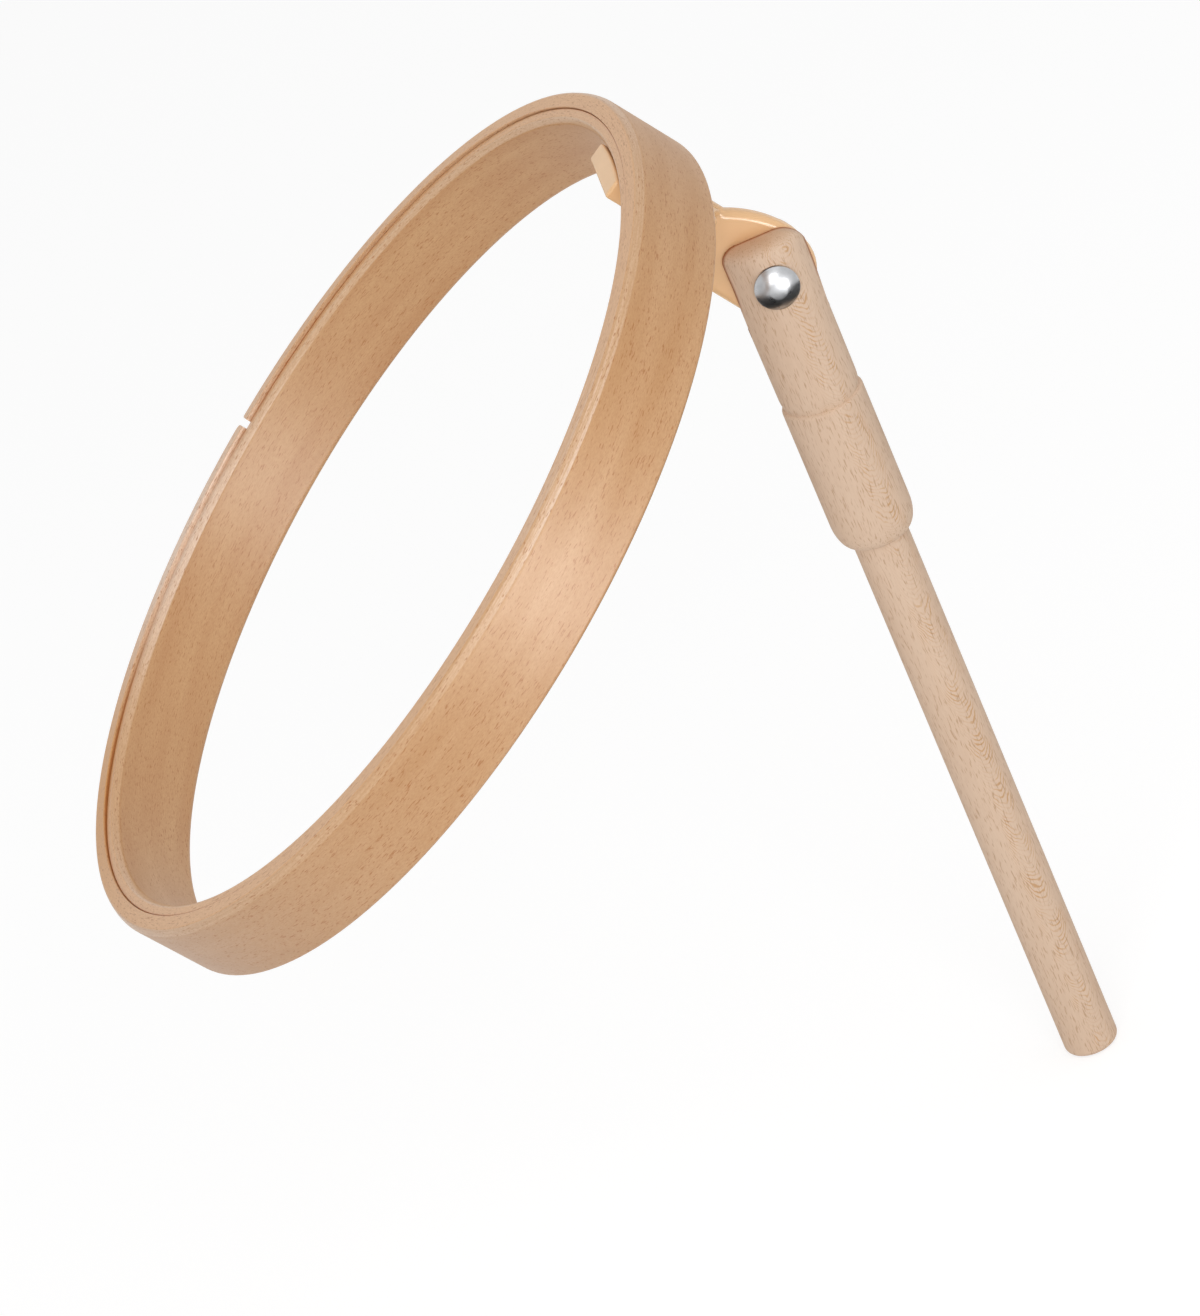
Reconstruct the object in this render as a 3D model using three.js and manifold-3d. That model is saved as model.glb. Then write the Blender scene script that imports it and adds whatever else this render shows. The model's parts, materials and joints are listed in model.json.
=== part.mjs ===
// Embroidery hoop on a hinged wooden stem.
//
// Two bent beech bands hold the cloth. A moulded bracket carries the inner band
// and ends in a rounded tongue, which tilts in the forked head of a turned stem.
// The stem's dowel plugs into a stand. Lengths are millimetres and +Z is up.
// The origin is the centre of the dowel's lower end, and X is the hinge's axis.

import * as THREE from 'three';
import { mergeVertices } from 'three/addons/utils/BufferGeometryUtils.js';
import Module from 'manifold-3d';

// Clearances
const SEAT_GAP = 0.3;             // between a piece and what it sits on
const BAND_CLEARANCE = 0.35;      // slack between the two bands, taken up by cloth
const BOLT_CLEARANCE = 0.3;       // all round the bolt in its holes
const FORK_CLEARANCE = 0.3;       // each side of the tongue
const OVERCUT = 1;                // how far a cutter runs past the face it opens

// Bands
const HOOP_DIAMETER = 254;        // across the outer band
const OUTER_BAND_THICKNESS = 5.5;
const OUTER_BAND_DEPTH = 25.4;
const OUTER_BAND_ROUND = 2.2;
const INNER_BAND_THICKNESS = 3.6;
const INNER_BAND_DEPTH = 26.4;
const INNER_BAND_ROUND = 1.6;
const BAND_SETBACK = 0.3;         // inner band's front edge behind the outer band's
const SPLIT_GAP = 2;              // opening in the outer band
const SPLIT_CORNER = 1.2;
const SPLIT_TURN = -105.7;        // degrees round the hoop from the bracket
const BAND_FACETS = 96;

// Hinge bracket
const HINGE_SETBACK = 29.3;       // pivot behind the inner band's back edge
const HINGE_INSET = 3.9;          // pivot inside the inner band's inner face
const PAD_WIDTH = 27;
const PAD_THICKNESS = 6.3;
const PAD_SETBACK = 1.1;          // pad's front edge behind the inner band's
const PAD_ROUND = 0.9;
const SHOULDER_DEPTH = 4;         // stands behind the inner band's back edge, flush with its outside
const FLARE_LENGTH = 4.2;           // from the shoulder down to the tongue
const TONGUE_THICKNESS = 5.4;
const TONGUE_RADIUS = 12.7;       // round the pivot
const TONGUE_TOP = 13.9;          // long curve's crest above the pivot
const TONGUE_ROUND = 2.2;
const TONGUE_BACK_RADIUS = 40;    // long curve from the shoulder to the top
const TONGUE_FLAT = 15;           // straight stretch along the underside

// Stem
const PIVOT_HEIGHT = 262.2;
const FORK_DIAMETER = 22.8;
const FORK_ABOVE_PIVOT = 11.9;
const FORK_ROUND = 5;
const SLOT_BELOW_TONGUE = 0.6;    // room under the tongue at the slot's floor
const SHANK_DIAMETER = 22.2;      // at the collar, swelling a little to the fork
const SHANK_LENGTH = 51;          // from the fork's end to the collar's chamfer
const COLLAR_DIAMETER = 23.1;
const COLLAR_CHAMFER = 2.3;
const COLLAR_LENGTH = 35.6;
const SHOULDER_LENGTH = 7.5;      // rounded lower end of the collar
const SHOULDER_STEP = 0.4;        // ledge left where the shoulder meets the dowel
const DOWEL_DIAMETER = 15.8;
const DOWEL_ROUND = 1.8;
const STEM_FACETS = 48;

// Pivot bolt, washer and wing nut
const BOLT_DIAMETER = 4.8;
const BOLT_TAIL = 2.5;            // thread showing past the nut
const HEAD_DIAMETER = 12.3;
const HEAD_HEIGHT = 3.3;
const HEAD_RIM = 0.5;
const NECK_WIDTH = 5.2;           // square neck that stops the bolt turning
const NECK_LENGTH = 3.5;
const SPOT_DEPTH = 0.6;           // flat milled for the head and the washer
const WASHER_DIAMETER = 12;
const WASHER_THICKNESS = 1.2;
const NUT_BASE_DIAMETER = 11;
const NUT_TOP_DIAMETER = 9;
const NUT_HEIGHT = 6.5;
const WING_SPAN = 26;
const WING_HEIGHT = 13;
const WING_THICKNESS = 2.6;
const WING_ROUND = 0.7;
const NUT_TURN = -28;             // degrees the wings lean from level
const BOLT_FACETS = 24;

// Bracket screws
const SCREW_SPACING = 16;
const SCREW_DIAMETER = 3;
const SCREW_HEAD_DIAMETER = 6;
const SCREW_HEAD_DEPTH = 1.6;
const SCREW_HEAD_SINK = 0.4;      // below the inner band's outer face
const SCREW_END_COVER = 1.2;      // pad left under the point
const SCREW_POINT = 1.5;
const SCREW_CLEARANCE = 0.3;
const SCREW_FACETS = 20;

// Rest pose
const REST_TILT = 33.2;           // degrees between the hoop's axis and the stem

// Sizes that follow
const hoopRadius = HOOP_DIAMETER / 2;
const outerBandInside = hoopRadius - OUTER_BAND_THICKNESS;
const innerBandOutside = outerBandInside - BAND_CLEARANCE;
const innerBandInside = innerBandOutside - INNER_BAND_THICKNESS;
const axisDrop = innerBandInside - HINGE_INSET;
const innerBandBack = HINGE_SETBACK;
const innerBandFront = innerBandBack + INNER_BAND_DEPTH;
const outerBandFront = innerBandFront + BAND_SETBACK;
const outerBandBack = outerBandFront - OUTER_BAND_DEPTH;
const padOutside = innerBandInside - SEAT_GAP;
const padInnerFace = padOutside - PAD_THICKNESS - axisDrop;
const padFront = innerBandFront - PAD_SETBACK;
const shoulderFront = innerBandBack - SEAT_GAP;
const shoulderBack = shoulderFront - SHOULDER_DEPTH;
const shoulderTop = innerBandOutside - axisDrop;
const flareEnd = shoulderBack - FLARE_LENGTH;
const forkRadius = FORK_DIAMETER / 2;
const shankRadius = SHANK_DIAMETER / 2;
const collarRadius = COLLAR_DIAMETER / 2;
const dowelRadius = DOWEL_DIAMETER / 2;
const stemTop = PIVOT_HEIGHT + FORK_ABOVE_PIVOT;
const slotWidth = TONGUE_THICKNESS + 2 * FORK_CLEARANCE;
const slotFloor = PIVOT_HEIGHT - TONGUE_TOP - SLOT_BELOW_TONGUE;
const holeRadius = BOLT_DIAMETER / 2 + BOLT_CLEARANCE;
const spotFace = forkRadius - SPOT_DEPTH;
const headSeat = spotFace + SEAT_GAP;
const washerOuterFace = spotFace + SEAT_GAP + WASHER_THICKNESS;
const nutSeat = washerOuterFace + SEAT_GAP;
const boltEnd = nutSeat + NUT_HEIGHT + BOLT_TAIL;
const screwHeight = (padFront + shoulderFront) / 2;
const screwTurn = Math.asin(SCREW_SPACING / 2 / innerBandInside);
const screwTop = innerBandOutside - SCREW_HEAD_SINK;
const screwTip = padOutside - PAD_THICKNESS + SCREW_END_COVER;

const manifold = await Module();
manifold.setup();

// Solid with shared corners, ready to be joined or cut. Slivers at a turned piece's axis go.
function solid(geometry) {
  const bare = geometry.clone();
  bare.deleteAttribute('normal');
  bare.deleteAttribute('uv');
  const merged = mergeVertices(bare, 1e-4);
  const corners = merged.index.array;
  const triangles = [];
  for (let i = 0; i < corners.length; i += 3) {
    const [a, b, c] = corners.slice(i, i + 3);
    if (a !== b && b !== c && c !== a) {
      triangles.push(a, b, c);
    }
  }
  return new manifold.Manifold(new manifold.Mesh({
    numProp: 3,
    vertProperties: new Float32Array(merged.attributes.position.array),
    triVerts: new Uint32Array(triangles),
  }));
}

// Faceted geometry of a finished solid.
function geometryOf(body) {
  const { vertProperties, triVerts } = body.getMesh();
  const geometry = new THREE.BufferGeometry();
  geometry.setAttribute('position', new THREE.BufferAttribute(vertProperties, 3));
  geometry.setIndex(new THREE.BufferAttribute(triVerts, 1));
  geometry.computeVertexNormals();
  return geometry;
}

function cut(body, ...tools) {
  return tools.reduce((rest, tool) => rest.subtract(solid(tool)), body);
}

function join(...geometries) {
  return geometries.map(solid).reduce((whole, part) => whole.add(part));
}

// Piece turned about Z from a closed outline of radius and height.
function turned(points, facets) {
  return new THREE.LatheGeometry(points, facets).rotateX(Math.PI / 2);
}

// Round bar along X, from one x to another.
function barAlongX(radius, from, to, facets) {
  const bar = new THREE.CylinderGeometry(radius, radius, to - from, facets);
  return bar.rotateZ(-Math.PI / 2).translate((from + to) / 2, 0, 0);
}

// Cross-section of a band: a rectangle of radius and height with rounded corners.
function bandSection(inside, outside, back, front, round) {
  const section = new THREE.Path();
  section.absarc(outside - round, back + round, round, -Math.PI / 2, 0);
  section.absarc(outside - round, front - round, round, 0, Math.PI / 2);
  section.absarc(inside + round, front - round, round, Math.PI / 2, Math.PI);
  section.absarc(inside + round, back + round, round, Math.PI, 1.5 * Math.PI);
  section.closePath();
  return section.getPoints(2);
}

function band(inside, outside, back, front, round) {
  const section = bandSection(inside, outside, back, front, round);
  return turned(section, BAND_FACETS).translate(0, -axisDrop, 0);
}

// Puts geometry built round the hoop's axis, with +Y through the bracket, at a turn from it.
function roundTheHoop(geometry, turn) {
  return geometry.rotateZ(-turn).translate(0, -axisDrop, 0);
}

// Opening in the outer band, flared so that the cut ends have rounded corners.
function splitCutter() {
  const half = SPLIT_GAP / 2;
  const flare = half + SPLIT_CORNER;
  const low = outerBandInside;
  const high = hoopRadius;
  const outline = new THREE.Shape();
  outline.moveTo(flare, low - OVERCUT);
  outline.lineTo(flare, low);
  outline.absarc(flare, low + SPLIT_CORNER, SPLIT_CORNER, -Math.PI / 2, Math.PI, true);
  outline.absarc(flare, high - SPLIT_CORNER, SPLIT_CORNER, Math.PI, Math.PI / 2, true);
  outline.lineTo(flare, high + OVERCUT);
  outline.lineTo(-flare, high + OVERCUT);
  outline.absarc(-flare, high - SPLIT_CORNER, SPLIT_CORNER, Math.PI / 2, 0, true);
  outline.absarc(-flare, low + SPLIT_CORNER, SPLIT_CORNER, 0, -Math.PI / 2, true);
  outline.lineTo(-flare, low - OVERCUT);
  const depth = OUTER_BAND_DEPTH + 2 * OVERCUT;
  const cutter = new THREE.ExtrudeGeometry(outline, { depth, bevelEnabled: false, curveSegments: 4 });
  return roundTheHoop(cutter.translate(0, 0, outerBandBack - OVERCUT), THREE.MathUtils.degToRad(SPLIT_TURN));
}

function outerBand() {
  const ring = band(outerBandInside, hoopRadius, outerBandBack, outerBandFront, OUTER_BAND_ROUND);
  return geometryOf(cut(solid(ring), splitCutter()));
}

// Countersunk screw, or with slack the hole for it, along a radius of the hoop.
function screwShape(turn, slack) {
  const headRadius = SCREW_HEAD_DIAMETER / 2 + slack;
  const shaft = SCREW_DIAMETER / 2 + slack;
  const top = slack > 0 ? innerBandOutside + OVERCUT : screwTop;
  const tip = screwTip - slack;
  const outline = [
    new THREE.Vector2(0, tip),
    new THREE.Vector2(shaft, tip + SCREW_POINT),
    new THREE.Vector2(shaft, screwTop - SCREW_HEAD_DEPTH),
    new THREE.Vector2(headRadius, screwTop),
  ];
  if (slack > 0) {
    outline.push(new THREE.Vector2(headRadius, top));
  }
  outline.push(new THREE.Vector2(0, top));
  const shape = new THREE.LatheGeometry(outline, SCREW_FACETS);
  return roundTheHoop(shape.translate(0, 0, screwHeight), turn);
}

function bracketScrew(turn) {
  return geometryOf(solid(screwShape(turn, 0)));
}

function screwHoles() {
  return [screwShape(-screwTurn, SCREW_CLEARANCE), screwShape(screwTurn, SCREW_CLEARANCE)];
}

function innerBand() {
  const ring = band(innerBandInside, innerBandOutside, innerBandBack, innerBandFront, INNER_BAND_ROUND);
  return geometryOf(cut(solid(ring), ...screwHoles()));
}

// Pad: flat inside, and curved outside to lie in the inner band.
function bracketPad() {
  const half = PAD_WIDTH / 2 - PAD_ROUND;
  const outside = padOutside - PAD_ROUND;
  const inside = padInnerFace + PAD_ROUND;
  const sweep = Math.asin(half / outside);
  const outline = new THREE.Shape();
  outline.moveTo(-half, inside);
  outline.lineTo(half, inside);
  outline.absarc(0, -axisDrop, outside, Math.PI / 2 - sweep, Math.PI / 2 + sweep);
  const back = shoulderFront - SHOULDER_DEPTH / 2;
  const pad = new THREE.ExtrudeGeometry(outline, {
    depth: padFront - back - 2 * PAD_ROUND,
    bevelThickness: PAD_ROUND,
    bevelSize: PAD_ROUND,
    bevelSegments: 3,
    curveSegments: 8,
  });
  return pad.translate(0, 0, back + PAD_ROUND);
}

// Shoulder behind the band's back edge, drawn in by a hollow curve to the tongue.
function bracketShoulder() {
  const half = PAD_WIDTH / 2 - PAD_ROUND;
  const neck = TONGUE_THICKNESS / 2 - PAD_ROUND;
  const front = shoulderFront - PAD_ROUND;
  const back = shoulderBack + PAD_ROUND;
  const outline = new THREE.Shape();
  outline.moveTo(-half, front);
  outline.lineTo(-half, back);
  outline.quadraticCurveTo(-neck, back, -neck, flareEnd);
  outline.lineTo(neck, flareEnd);
  outline.quadraticCurveTo(neck, back, half, back);
  outline.lineTo(half, front);
  const shoulder = new THREE.ExtrudeGeometry(outline, {
    depth: shoulderTop - padInnerFace - 2 * PAD_ROUND,
    bevelThickness: PAD_ROUND,
    bevelSize: PAD_ROUND,
    bevelSegments: 3,
    curveSegments: 8,
  });
  return shoulder.rotateX(Math.PI / 2).translate(0, shoulderTop - PAD_ROUND, 0);
}

// Tongue: a rounded plate in the plane of the tilt, with its disc round the pivot.
function bracketTongue() {
  const radius = TONGUE_RADIUS - TONGUE_ROUND;
  const top = TONGUE_TOP - TONGUE_ROUND;
  const root = shoulderBack;
  const backRadius = TONGUE_BACK_RADIUS - TONGUE_ROUND;
  const backCentre = top - backRadius;
  const discEnd = Math.PI / 3;
  const crestStart = (radius - top * Math.sin(discEnd)) / Math.cos(discEnd);
  const backSweep = Math.asin(flareEnd / backRadius);
  const underside = padInnerFace + TONGUE_ROUND;
  const outline = new THREE.Shape();
  outline.absarc(0, 0, radius, -Math.PI / 2, discEnd);
  outline.quadraticCurveTo(crestStart, top, 0, top);
  outline.absarc(0, backCentre, backRadius, Math.PI / 2, Math.PI / 2 + backSweep);
  outline.lineTo(-root, underside + TONGUE_ROUND);
  outline.lineTo(-root, underside);
  outline.bezierCurveTo(-flareEnd, underside, -flareEnd, -radius, -TONGUE_FLAT, -radius);
  const plate = new THREE.ExtrudeGeometry(outline, {
    depth: TONGUE_THICKNESS - 2 * TONGUE_ROUND,
    bevelThickness: TONGUE_ROUND,
    bevelSize: TONGUE_ROUND,
    bevelSegments: 4,
    curveSegments: 10,
  });
  const turn = new THREE.Matrix4().makeBasis(
    new THREE.Vector3(0, 0, -1),
    new THREE.Vector3(0, 1, 0),
    new THREE.Vector3(1, 0, 0),
  );
  return plate.translate(0, 0, TONGUE_ROUND - TONGUE_THICKNESS / 2).applyMatrix4(turn);
}

function hingeBracket() {
  const whole = join(bracketPad(), bracketShoulder(), bracketTongue());
  const hole = barAlongX(holeRadius, -TONGUE_THICKNESS, TONGUE_THICKNESS, BOLT_FACETS);
  return geometryOf(cut(whole, hole, ...screwHoles()));
}

// Stem's outline, from the dowel's end up to the fork's end.
function stemOutline() {
  const chamferTop = stemTop - SHANK_LENGTH;
  const collarTop = chamferTop - COLLAR_CHAMFER;
  const collarBottom = collarTop - COLLAR_LENGTH;
  const dowelTop = collarBottom - SHOULDER_LENGTH;
  const shoulderInside = dowelRadius + SHOULDER_STEP;
  const outline = new THREE.Path();
  outline.moveTo(0, 0);
  outline.lineTo(dowelRadius - DOWEL_ROUND, 0);
  outline.absarc(dowelRadius - DOWEL_ROUND, DOWEL_ROUND, DOWEL_ROUND, -Math.PI / 2, 0);
  outline.lineTo(dowelRadius, dowelTop);
  outline.lineTo(shoulderInside, dowelTop);
  outline.absellipse(shoulderInside, collarBottom, collarRadius - shoulderInside, SHOULDER_LENGTH,
    -Math.PI / 2, 0);
  outline.lineTo(collarRadius, collarTop);
  outline.lineTo(shankRadius, chamferTop);
  outline.lineTo(forkRadius, stemTop - FORK_ROUND);
  outline.absarc(forkRadius - FORK_ROUND, stemTop - FORK_ROUND, FORK_ROUND, 0, Math.PI / 2);
  outline.lineTo(0, stemTop);
  return outline.getPoints(3);
}

// Flat milled on the round shank, from a distance off the axis outwards.
function spotFacer(diameter, side) {
  const reach = forkRadius + OVERCUT;
  const from = side > 0 ? spotFace : -reach;
  const to = side > 0 ? reach : -spotFace;
  return barAlongX(diameter / 2 + SEAT_GAP, from, to, BOLT_FACETS).translate(0, 0, PIVOT_HEIGHT);
}

function stem() {
  const bar = turned(stemOutline(), STEM_FACETS);
  const slotHeight = stemTop + OVERCUT - slotFloor;
  const slot = new THREE.BoxGeometry(slotWidth, FORK_DIAMETER + 2 * OVERCUT, slotHeight)
    .translate(0, 0, slotFloor + slotHeight / 2);
  const hole = barAlongX(holeRadius, -COLLAR_DIAMETER, COLLAR_DIAMETER, BOLT_FACETS)
    .translate(0, 0, PIVOT_HEIGHT);
  const socketWidth = NECK_WIDTH + 2 * BOLT_CLEARANCE;
  const socketDepth = NECK_LENGTH + OVERCUT + SEAT_GAP;
  const socket = new THREE.BoxGeometry(socketDepth, socketWidth, socketWidth)
    .translate(headSeat + OVERCUT - socketDepth / 2, 0, PIVOT_HEIGHT);
  const headSpot = spotFacer(HEAD_DIAMETER, 1);
  const washerSpot = spotFacer(WASHER_DIAMETER, -1);
  return geometryOf(cut(solid(bar), slot, hole, socket, headSpot, washerSpot));
}

// Coach bolt along X: domed head outside the near cheek, square neck, plain shank.
function pivotBolt() {
  const radius = HEAD_DIAMETER / 2;
  const rise = HEAD_HEIGHT - HEAD_RIM;
  const domeRadius = (radius * radius + rise * rise) / (2 * rise);
  const domeSweep = Math.asin(radius / domeRadius);
  const top = headSeat + HEAD_HEIGHT;
  const outline = new THREE.Path();
  outline.moveTo(0, -boltEnd);
  outline.lineTo(BOLT_DIAMETER / 2, -boltEnd);
  outline.lineTo(BOLT_DIAMETER / 2, headSeat);
  outline.lineTo(radius, headSeat);
  outline.lineTo(radius, headSeat + HEAD_RIM);
  outline.absarc(0, top - domeRadius, domeRadius, Math.PI / 2 - domeSweep, Math.PI / 2);
  const round = new THREE.LatheGeometry(outline.getPoints(4), BOLT_FACETS).rotateZ(-Math.PI / 2);
  const neck = new THREE.BoxGeometry(NECK_LENGTH + HEAD_RIM, NECK_WIDTH, NECK_WIDTH)
    .translate(headSeat + (HEAD_RIM - NECK_LENGTH) / 2, 0, 0);
  return geometryOf(join(round, neck));
}

function washer() {
  const inside = holeRadius;
  const outside = WASHER_DIAMETER / 2;
  const near = -washerOuterFace;
  const far = near + WASHER_THICKNESS;
  const outline = [
    new THREE.Vector2(inside, near),
    new THREE.Vector2(outside, near),
    new THREE.Vector2(outside, far),
    new THREE.Vector2(inside, far),
    new THREE.Vector2(inside, near),
  ];
  return new THREE.LatheGeometry(outline, BOLT_FACETS).rotateZ(-Math.PI / 2);
}

// One wing, standing out and away from the nut's seat.
function wing() {
  const reach = WING_SPAN / 2 - WING_ROUND;
  const high = WING_HEIGHT - WING_ROUND;
  const root = NUT_TOP_DIAMETER / 2 - BOLT_CLEARANCE;
  const low = WING_ROUND + SEAT_GAP;
  const ear = WING_HEIGHT / 4;
  const outline = new THREE.Shape();
  outline.moveTo(root, low);
  outline.bezierCurveTo(root + ear, low, reach, high / 3, reach, high - ear);
  outline.absarc(reach - ear, high - ear, ear, 0, 0.75 * Math.PI);
  outline.quadraticCurveTo(root + ear / 2, NUT_HEIGHT, root, NUT_HEIGHT - WING_ROUND);
  return new THREE.ExtrudeGeometry(outline, {
    depth: WING_THICKNESS - 2 * WING_ROUND,
    bevelThickness: WING_ROUND,
    bevelSize: WING_ROUND,
    bevelSegments: 2,
    curveSegments: 6,
  }).translate(0, 0, WING_ROUND - WING_THICKNESS / 2);
}

// Wing nut, seated on the washer's outer face with its wings pointing away from the stem.
function wingNut() {
  const hub = new THREE.CylinderGeometry(NUT_TOP_DIAMETER / 2, NUT_BASE_DIAMETER / 2, NUT_HEIGHT,
    BOLT_FACETS).translate(0, NUT_HEIGHT / 2, 0);
  const bore = new THREE.CylinderGeometry(holeRadius, holeRadius, 2 * WING_HEIGHT, BOLT_FACETS);
  const nut = cut(join(hub, wing(), wing().rotateY(Math.PI)), bore);
  return geometryOf(nut).rotateZ(Math.PI / 2).translate(-nutSeat, 0, 0);
}

const WOOD = { color: 0xd3ab82, roughness: 0.55, metalness: 0 };
const TURNED_WOOD = { color: 0xd6bba0, roughness: 0.6, metalness: 0 };
const PLASTIC = { color: 0xe0b083, roughness: 0.28, metalness: 0 };
const STEEL = { color: 0xb9bbbe, roughness: 0.22, metalness: 1 };

function piece(name, geometry, finish) {
  const mesh = new THREE.Mesh(geometry, new THREE.MeshStandardMaterial(finish));
  mesh.name = name;
  return mesh;
}

const hoop = new THREE.Group();
hoop.position.z = PIVOT_HEIGHT;
hoop.rotation.x = THREE.MathUtils.degToRad(REST_TILT);
hoop.add(
  piece('inner_ring', innerBand(), WOOD),
  piece('outer_ring', outerBand(), WOOD),
  piece('hinge_bracket', hingeBracket(), PLASTIC),
  piece('bracket_screw_1', bracketScrew(-screwTurn), STEEL),
  piece('bracket_screw_2', bracketScrew(screwTurn), STEEL),
);

const nut = piece('wing_nut', wingNut(), STEEL);
nut.rotation.x = THREE.MathUtils.degToRad(NUT_TURN);

const pivot = new THREE.Group();
pivot.position.z = PIVOT_HEIGHT;
pivot.add(piece('pivot_bolt', pivotBolt(), STEEL), piece('washer', washer(), STEEL), nut);

const embroideryHoop = new THREE.Group();
embroideryHoop.add(piece('stem', stem(), TURNED_WOOD), pivot, hoop);

export default embroideryHoop;
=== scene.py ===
"""Embroidery hoop on a hinged wooden stem: the looks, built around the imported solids.

Lengths are metres and +Z runs up the stem. The hoop's pieces are modelled round the
hoop's own axis and then tilted about the hinge into the frame.
"""

import json
import math
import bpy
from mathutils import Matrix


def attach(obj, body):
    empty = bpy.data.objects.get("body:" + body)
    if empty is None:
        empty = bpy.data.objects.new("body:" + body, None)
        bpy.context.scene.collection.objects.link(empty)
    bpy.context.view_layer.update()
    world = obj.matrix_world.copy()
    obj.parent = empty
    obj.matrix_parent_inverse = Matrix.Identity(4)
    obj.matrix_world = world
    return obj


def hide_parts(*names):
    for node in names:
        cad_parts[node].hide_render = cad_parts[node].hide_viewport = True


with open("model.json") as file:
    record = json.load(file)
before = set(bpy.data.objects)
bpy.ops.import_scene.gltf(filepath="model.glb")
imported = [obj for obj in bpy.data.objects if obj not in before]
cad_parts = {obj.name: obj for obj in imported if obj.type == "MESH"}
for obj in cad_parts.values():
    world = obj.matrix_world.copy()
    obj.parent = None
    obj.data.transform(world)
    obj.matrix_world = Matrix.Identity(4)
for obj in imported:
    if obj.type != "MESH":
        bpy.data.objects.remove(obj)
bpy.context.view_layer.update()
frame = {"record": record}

from types import SimpleNamespace

import bmesh
import bpy
from bpy.props import FloatProperty, FloatVectorProperty, PointerProperty
from mathutils import Matrix, Vector
from mathutils.geometry import interpolate_bezier

bl_info = {
    "name": "Embroidery hoop",
    "version": (1, 0, 0),
    "blender": (4, 5, 0),
    "location": "View3D > Sidebar > Hoop",
    "description": "Builds a tilting wooden embroidery hoop on a turned stem",
    "category": "Add Mesh",
}

MM = 0.001
JOINTS = {joint["name"]: joint for joint in frame["record"]["behaviour"]["joints"]}
PIVOT = Vector(JOINTS["hoop_tilt"]["pos_m"])
HOOP_AXIS = Vector(JOINTS["outer_ring_lift"]["axis"])
TILT = math.atan2(-HOOP_AXIS.y, HOOP_AXIS.z)
SETTLE_SPREAD = 75  # degrees round the hoop, each side of the split
PRESSED_TURN = -148  # degrees round the hoop to a place where the inner band is pressed in
PRESSED_SPREAD = 24
PRESSED_DEPTH = 0.25 * MM
PATCHES = {  # soft patches: degrees round the hoop from the bracket, and their spread
    "sanded": (-125, 19),  # front edges, sanded bare and brightened by a painted highlight
    "rubbed": (57, 15),  # front edges, painted highlight streaks
    "wide": (-170, 24),  # painted shade along the seam, wider and warmer
    "greyed": (155, 42),  # outer band where it faces down: painted sheen
}
BAND_STEPS = 192  # round the hoop
STEM_STEPS = 96  # round the stem
METAL_STEPS = 64  # round the bolt, the washer and the nut
THREAD_STEPS = 32  # round one turn of the thread
SCREW_STEPS = 32  # round a bracket screw
SLACK = 0.3 * MM  # round screws, head and washer in the holes cut for them
SCREW_SUNK = 0.4 * MM  # screw heads below the inner band's outer face
CLOSE = 0.01 * MM  # points nearer than this count as lying on a line or plane
MARGIN = 0.1 * MM  # kept to a plane when points are told apart by it


# Sizes and colours


def length(name, description, millimetres):
    """A length that a user may change, given in millimetres."""
    return FloatProperty(
        name=name,
        description=description,
        default=millimetres * MM,
        min=0.0,
        precision=5,
        subtype="DISTANCE",
        unit="LENGTH",
    )


def linear(colour):
    """Linear colour of an sRGB hex value."""
    channels = [((colour >> shift) & 255) / 255 for shift in (16, 8, 0)]
    return tuple(
        c / 12.92 if c <= 0.04045 else ((c + 0.055) / 1.055) ** 2.4 for c in channels
    )


def tint(name, description, colour):
    """A colour that a user may change, given as an sRGB hex value."""
    return FloatVectorProperty(
        name=name,
        description=description,
        default=linear(colour),
        size=3,
        min=0.0,
        max=1.0,
        subtype="COLOR",
    )


class HOOP_PG_bands(bpy.types.PropertyGroup):
    """Sizes of the two bent bands."""

    diameter: length("Hoop diameter", "Across the outer band", 254)
    outer_thickness: length("Outer thickness", "Of the outer band", 5.5)
    outer_depth: length("Outer depth", "Of the outer band, along the hoop's axis", 25.4)
    outer_round: length("Outer bevel", "Sanded edge along the outer band's face", 2.2)
    outer_ease: length("Outer easing", "Sanded edge across the outer band's front", 1.15)
    back_round: length("Back rounding", "Of the outer band's back edge", 1.2)
    inner_thickness: length("Inner thickness", "Of the inner band", 3.6)
    inner_depth: length("Inner depth", "Of the inner band, along the hoop's axis", 26.4)
    inner_round: length("Inner bevel", "Sanded edge along the inner band's inner face", 1.7)
    inner_ease: length("Inner easing", "Sanded edge across the inner band's front", 1.2)
    facing_round: length("Facing rounding", "Of the edges where the bands meet", 0.35)
    bevel_round: length("Bevel rounding", "Of the sanded edges' own corners", 0.7)
    clearance: length("Clearance", "Slack between the bands, for the cloth", 0.35)
    setback: length("Setback", "Inner band's front edge behind the outer band's", 0.3)
    inner_settle: length("Inner settling", "Inner band's front, set back round the split", 1.5)
    outer_settle: length("Outer settling", "Outer band's front, set back round the split", 0.45)
    swell: length("Swelling", "Of the inner band, towards the outer one", 0.29)
    split_gap: length("Split", "Opening between the outer band's ends", 2.4)
    split_turn: FloatProperty(
        name="Split's place",
        description="Turn round the hoop from the bracket to the split",
        default=math.radians(-105.7),
        subtype="ANGLE",
        unit="ROTATION",
    )


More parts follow.
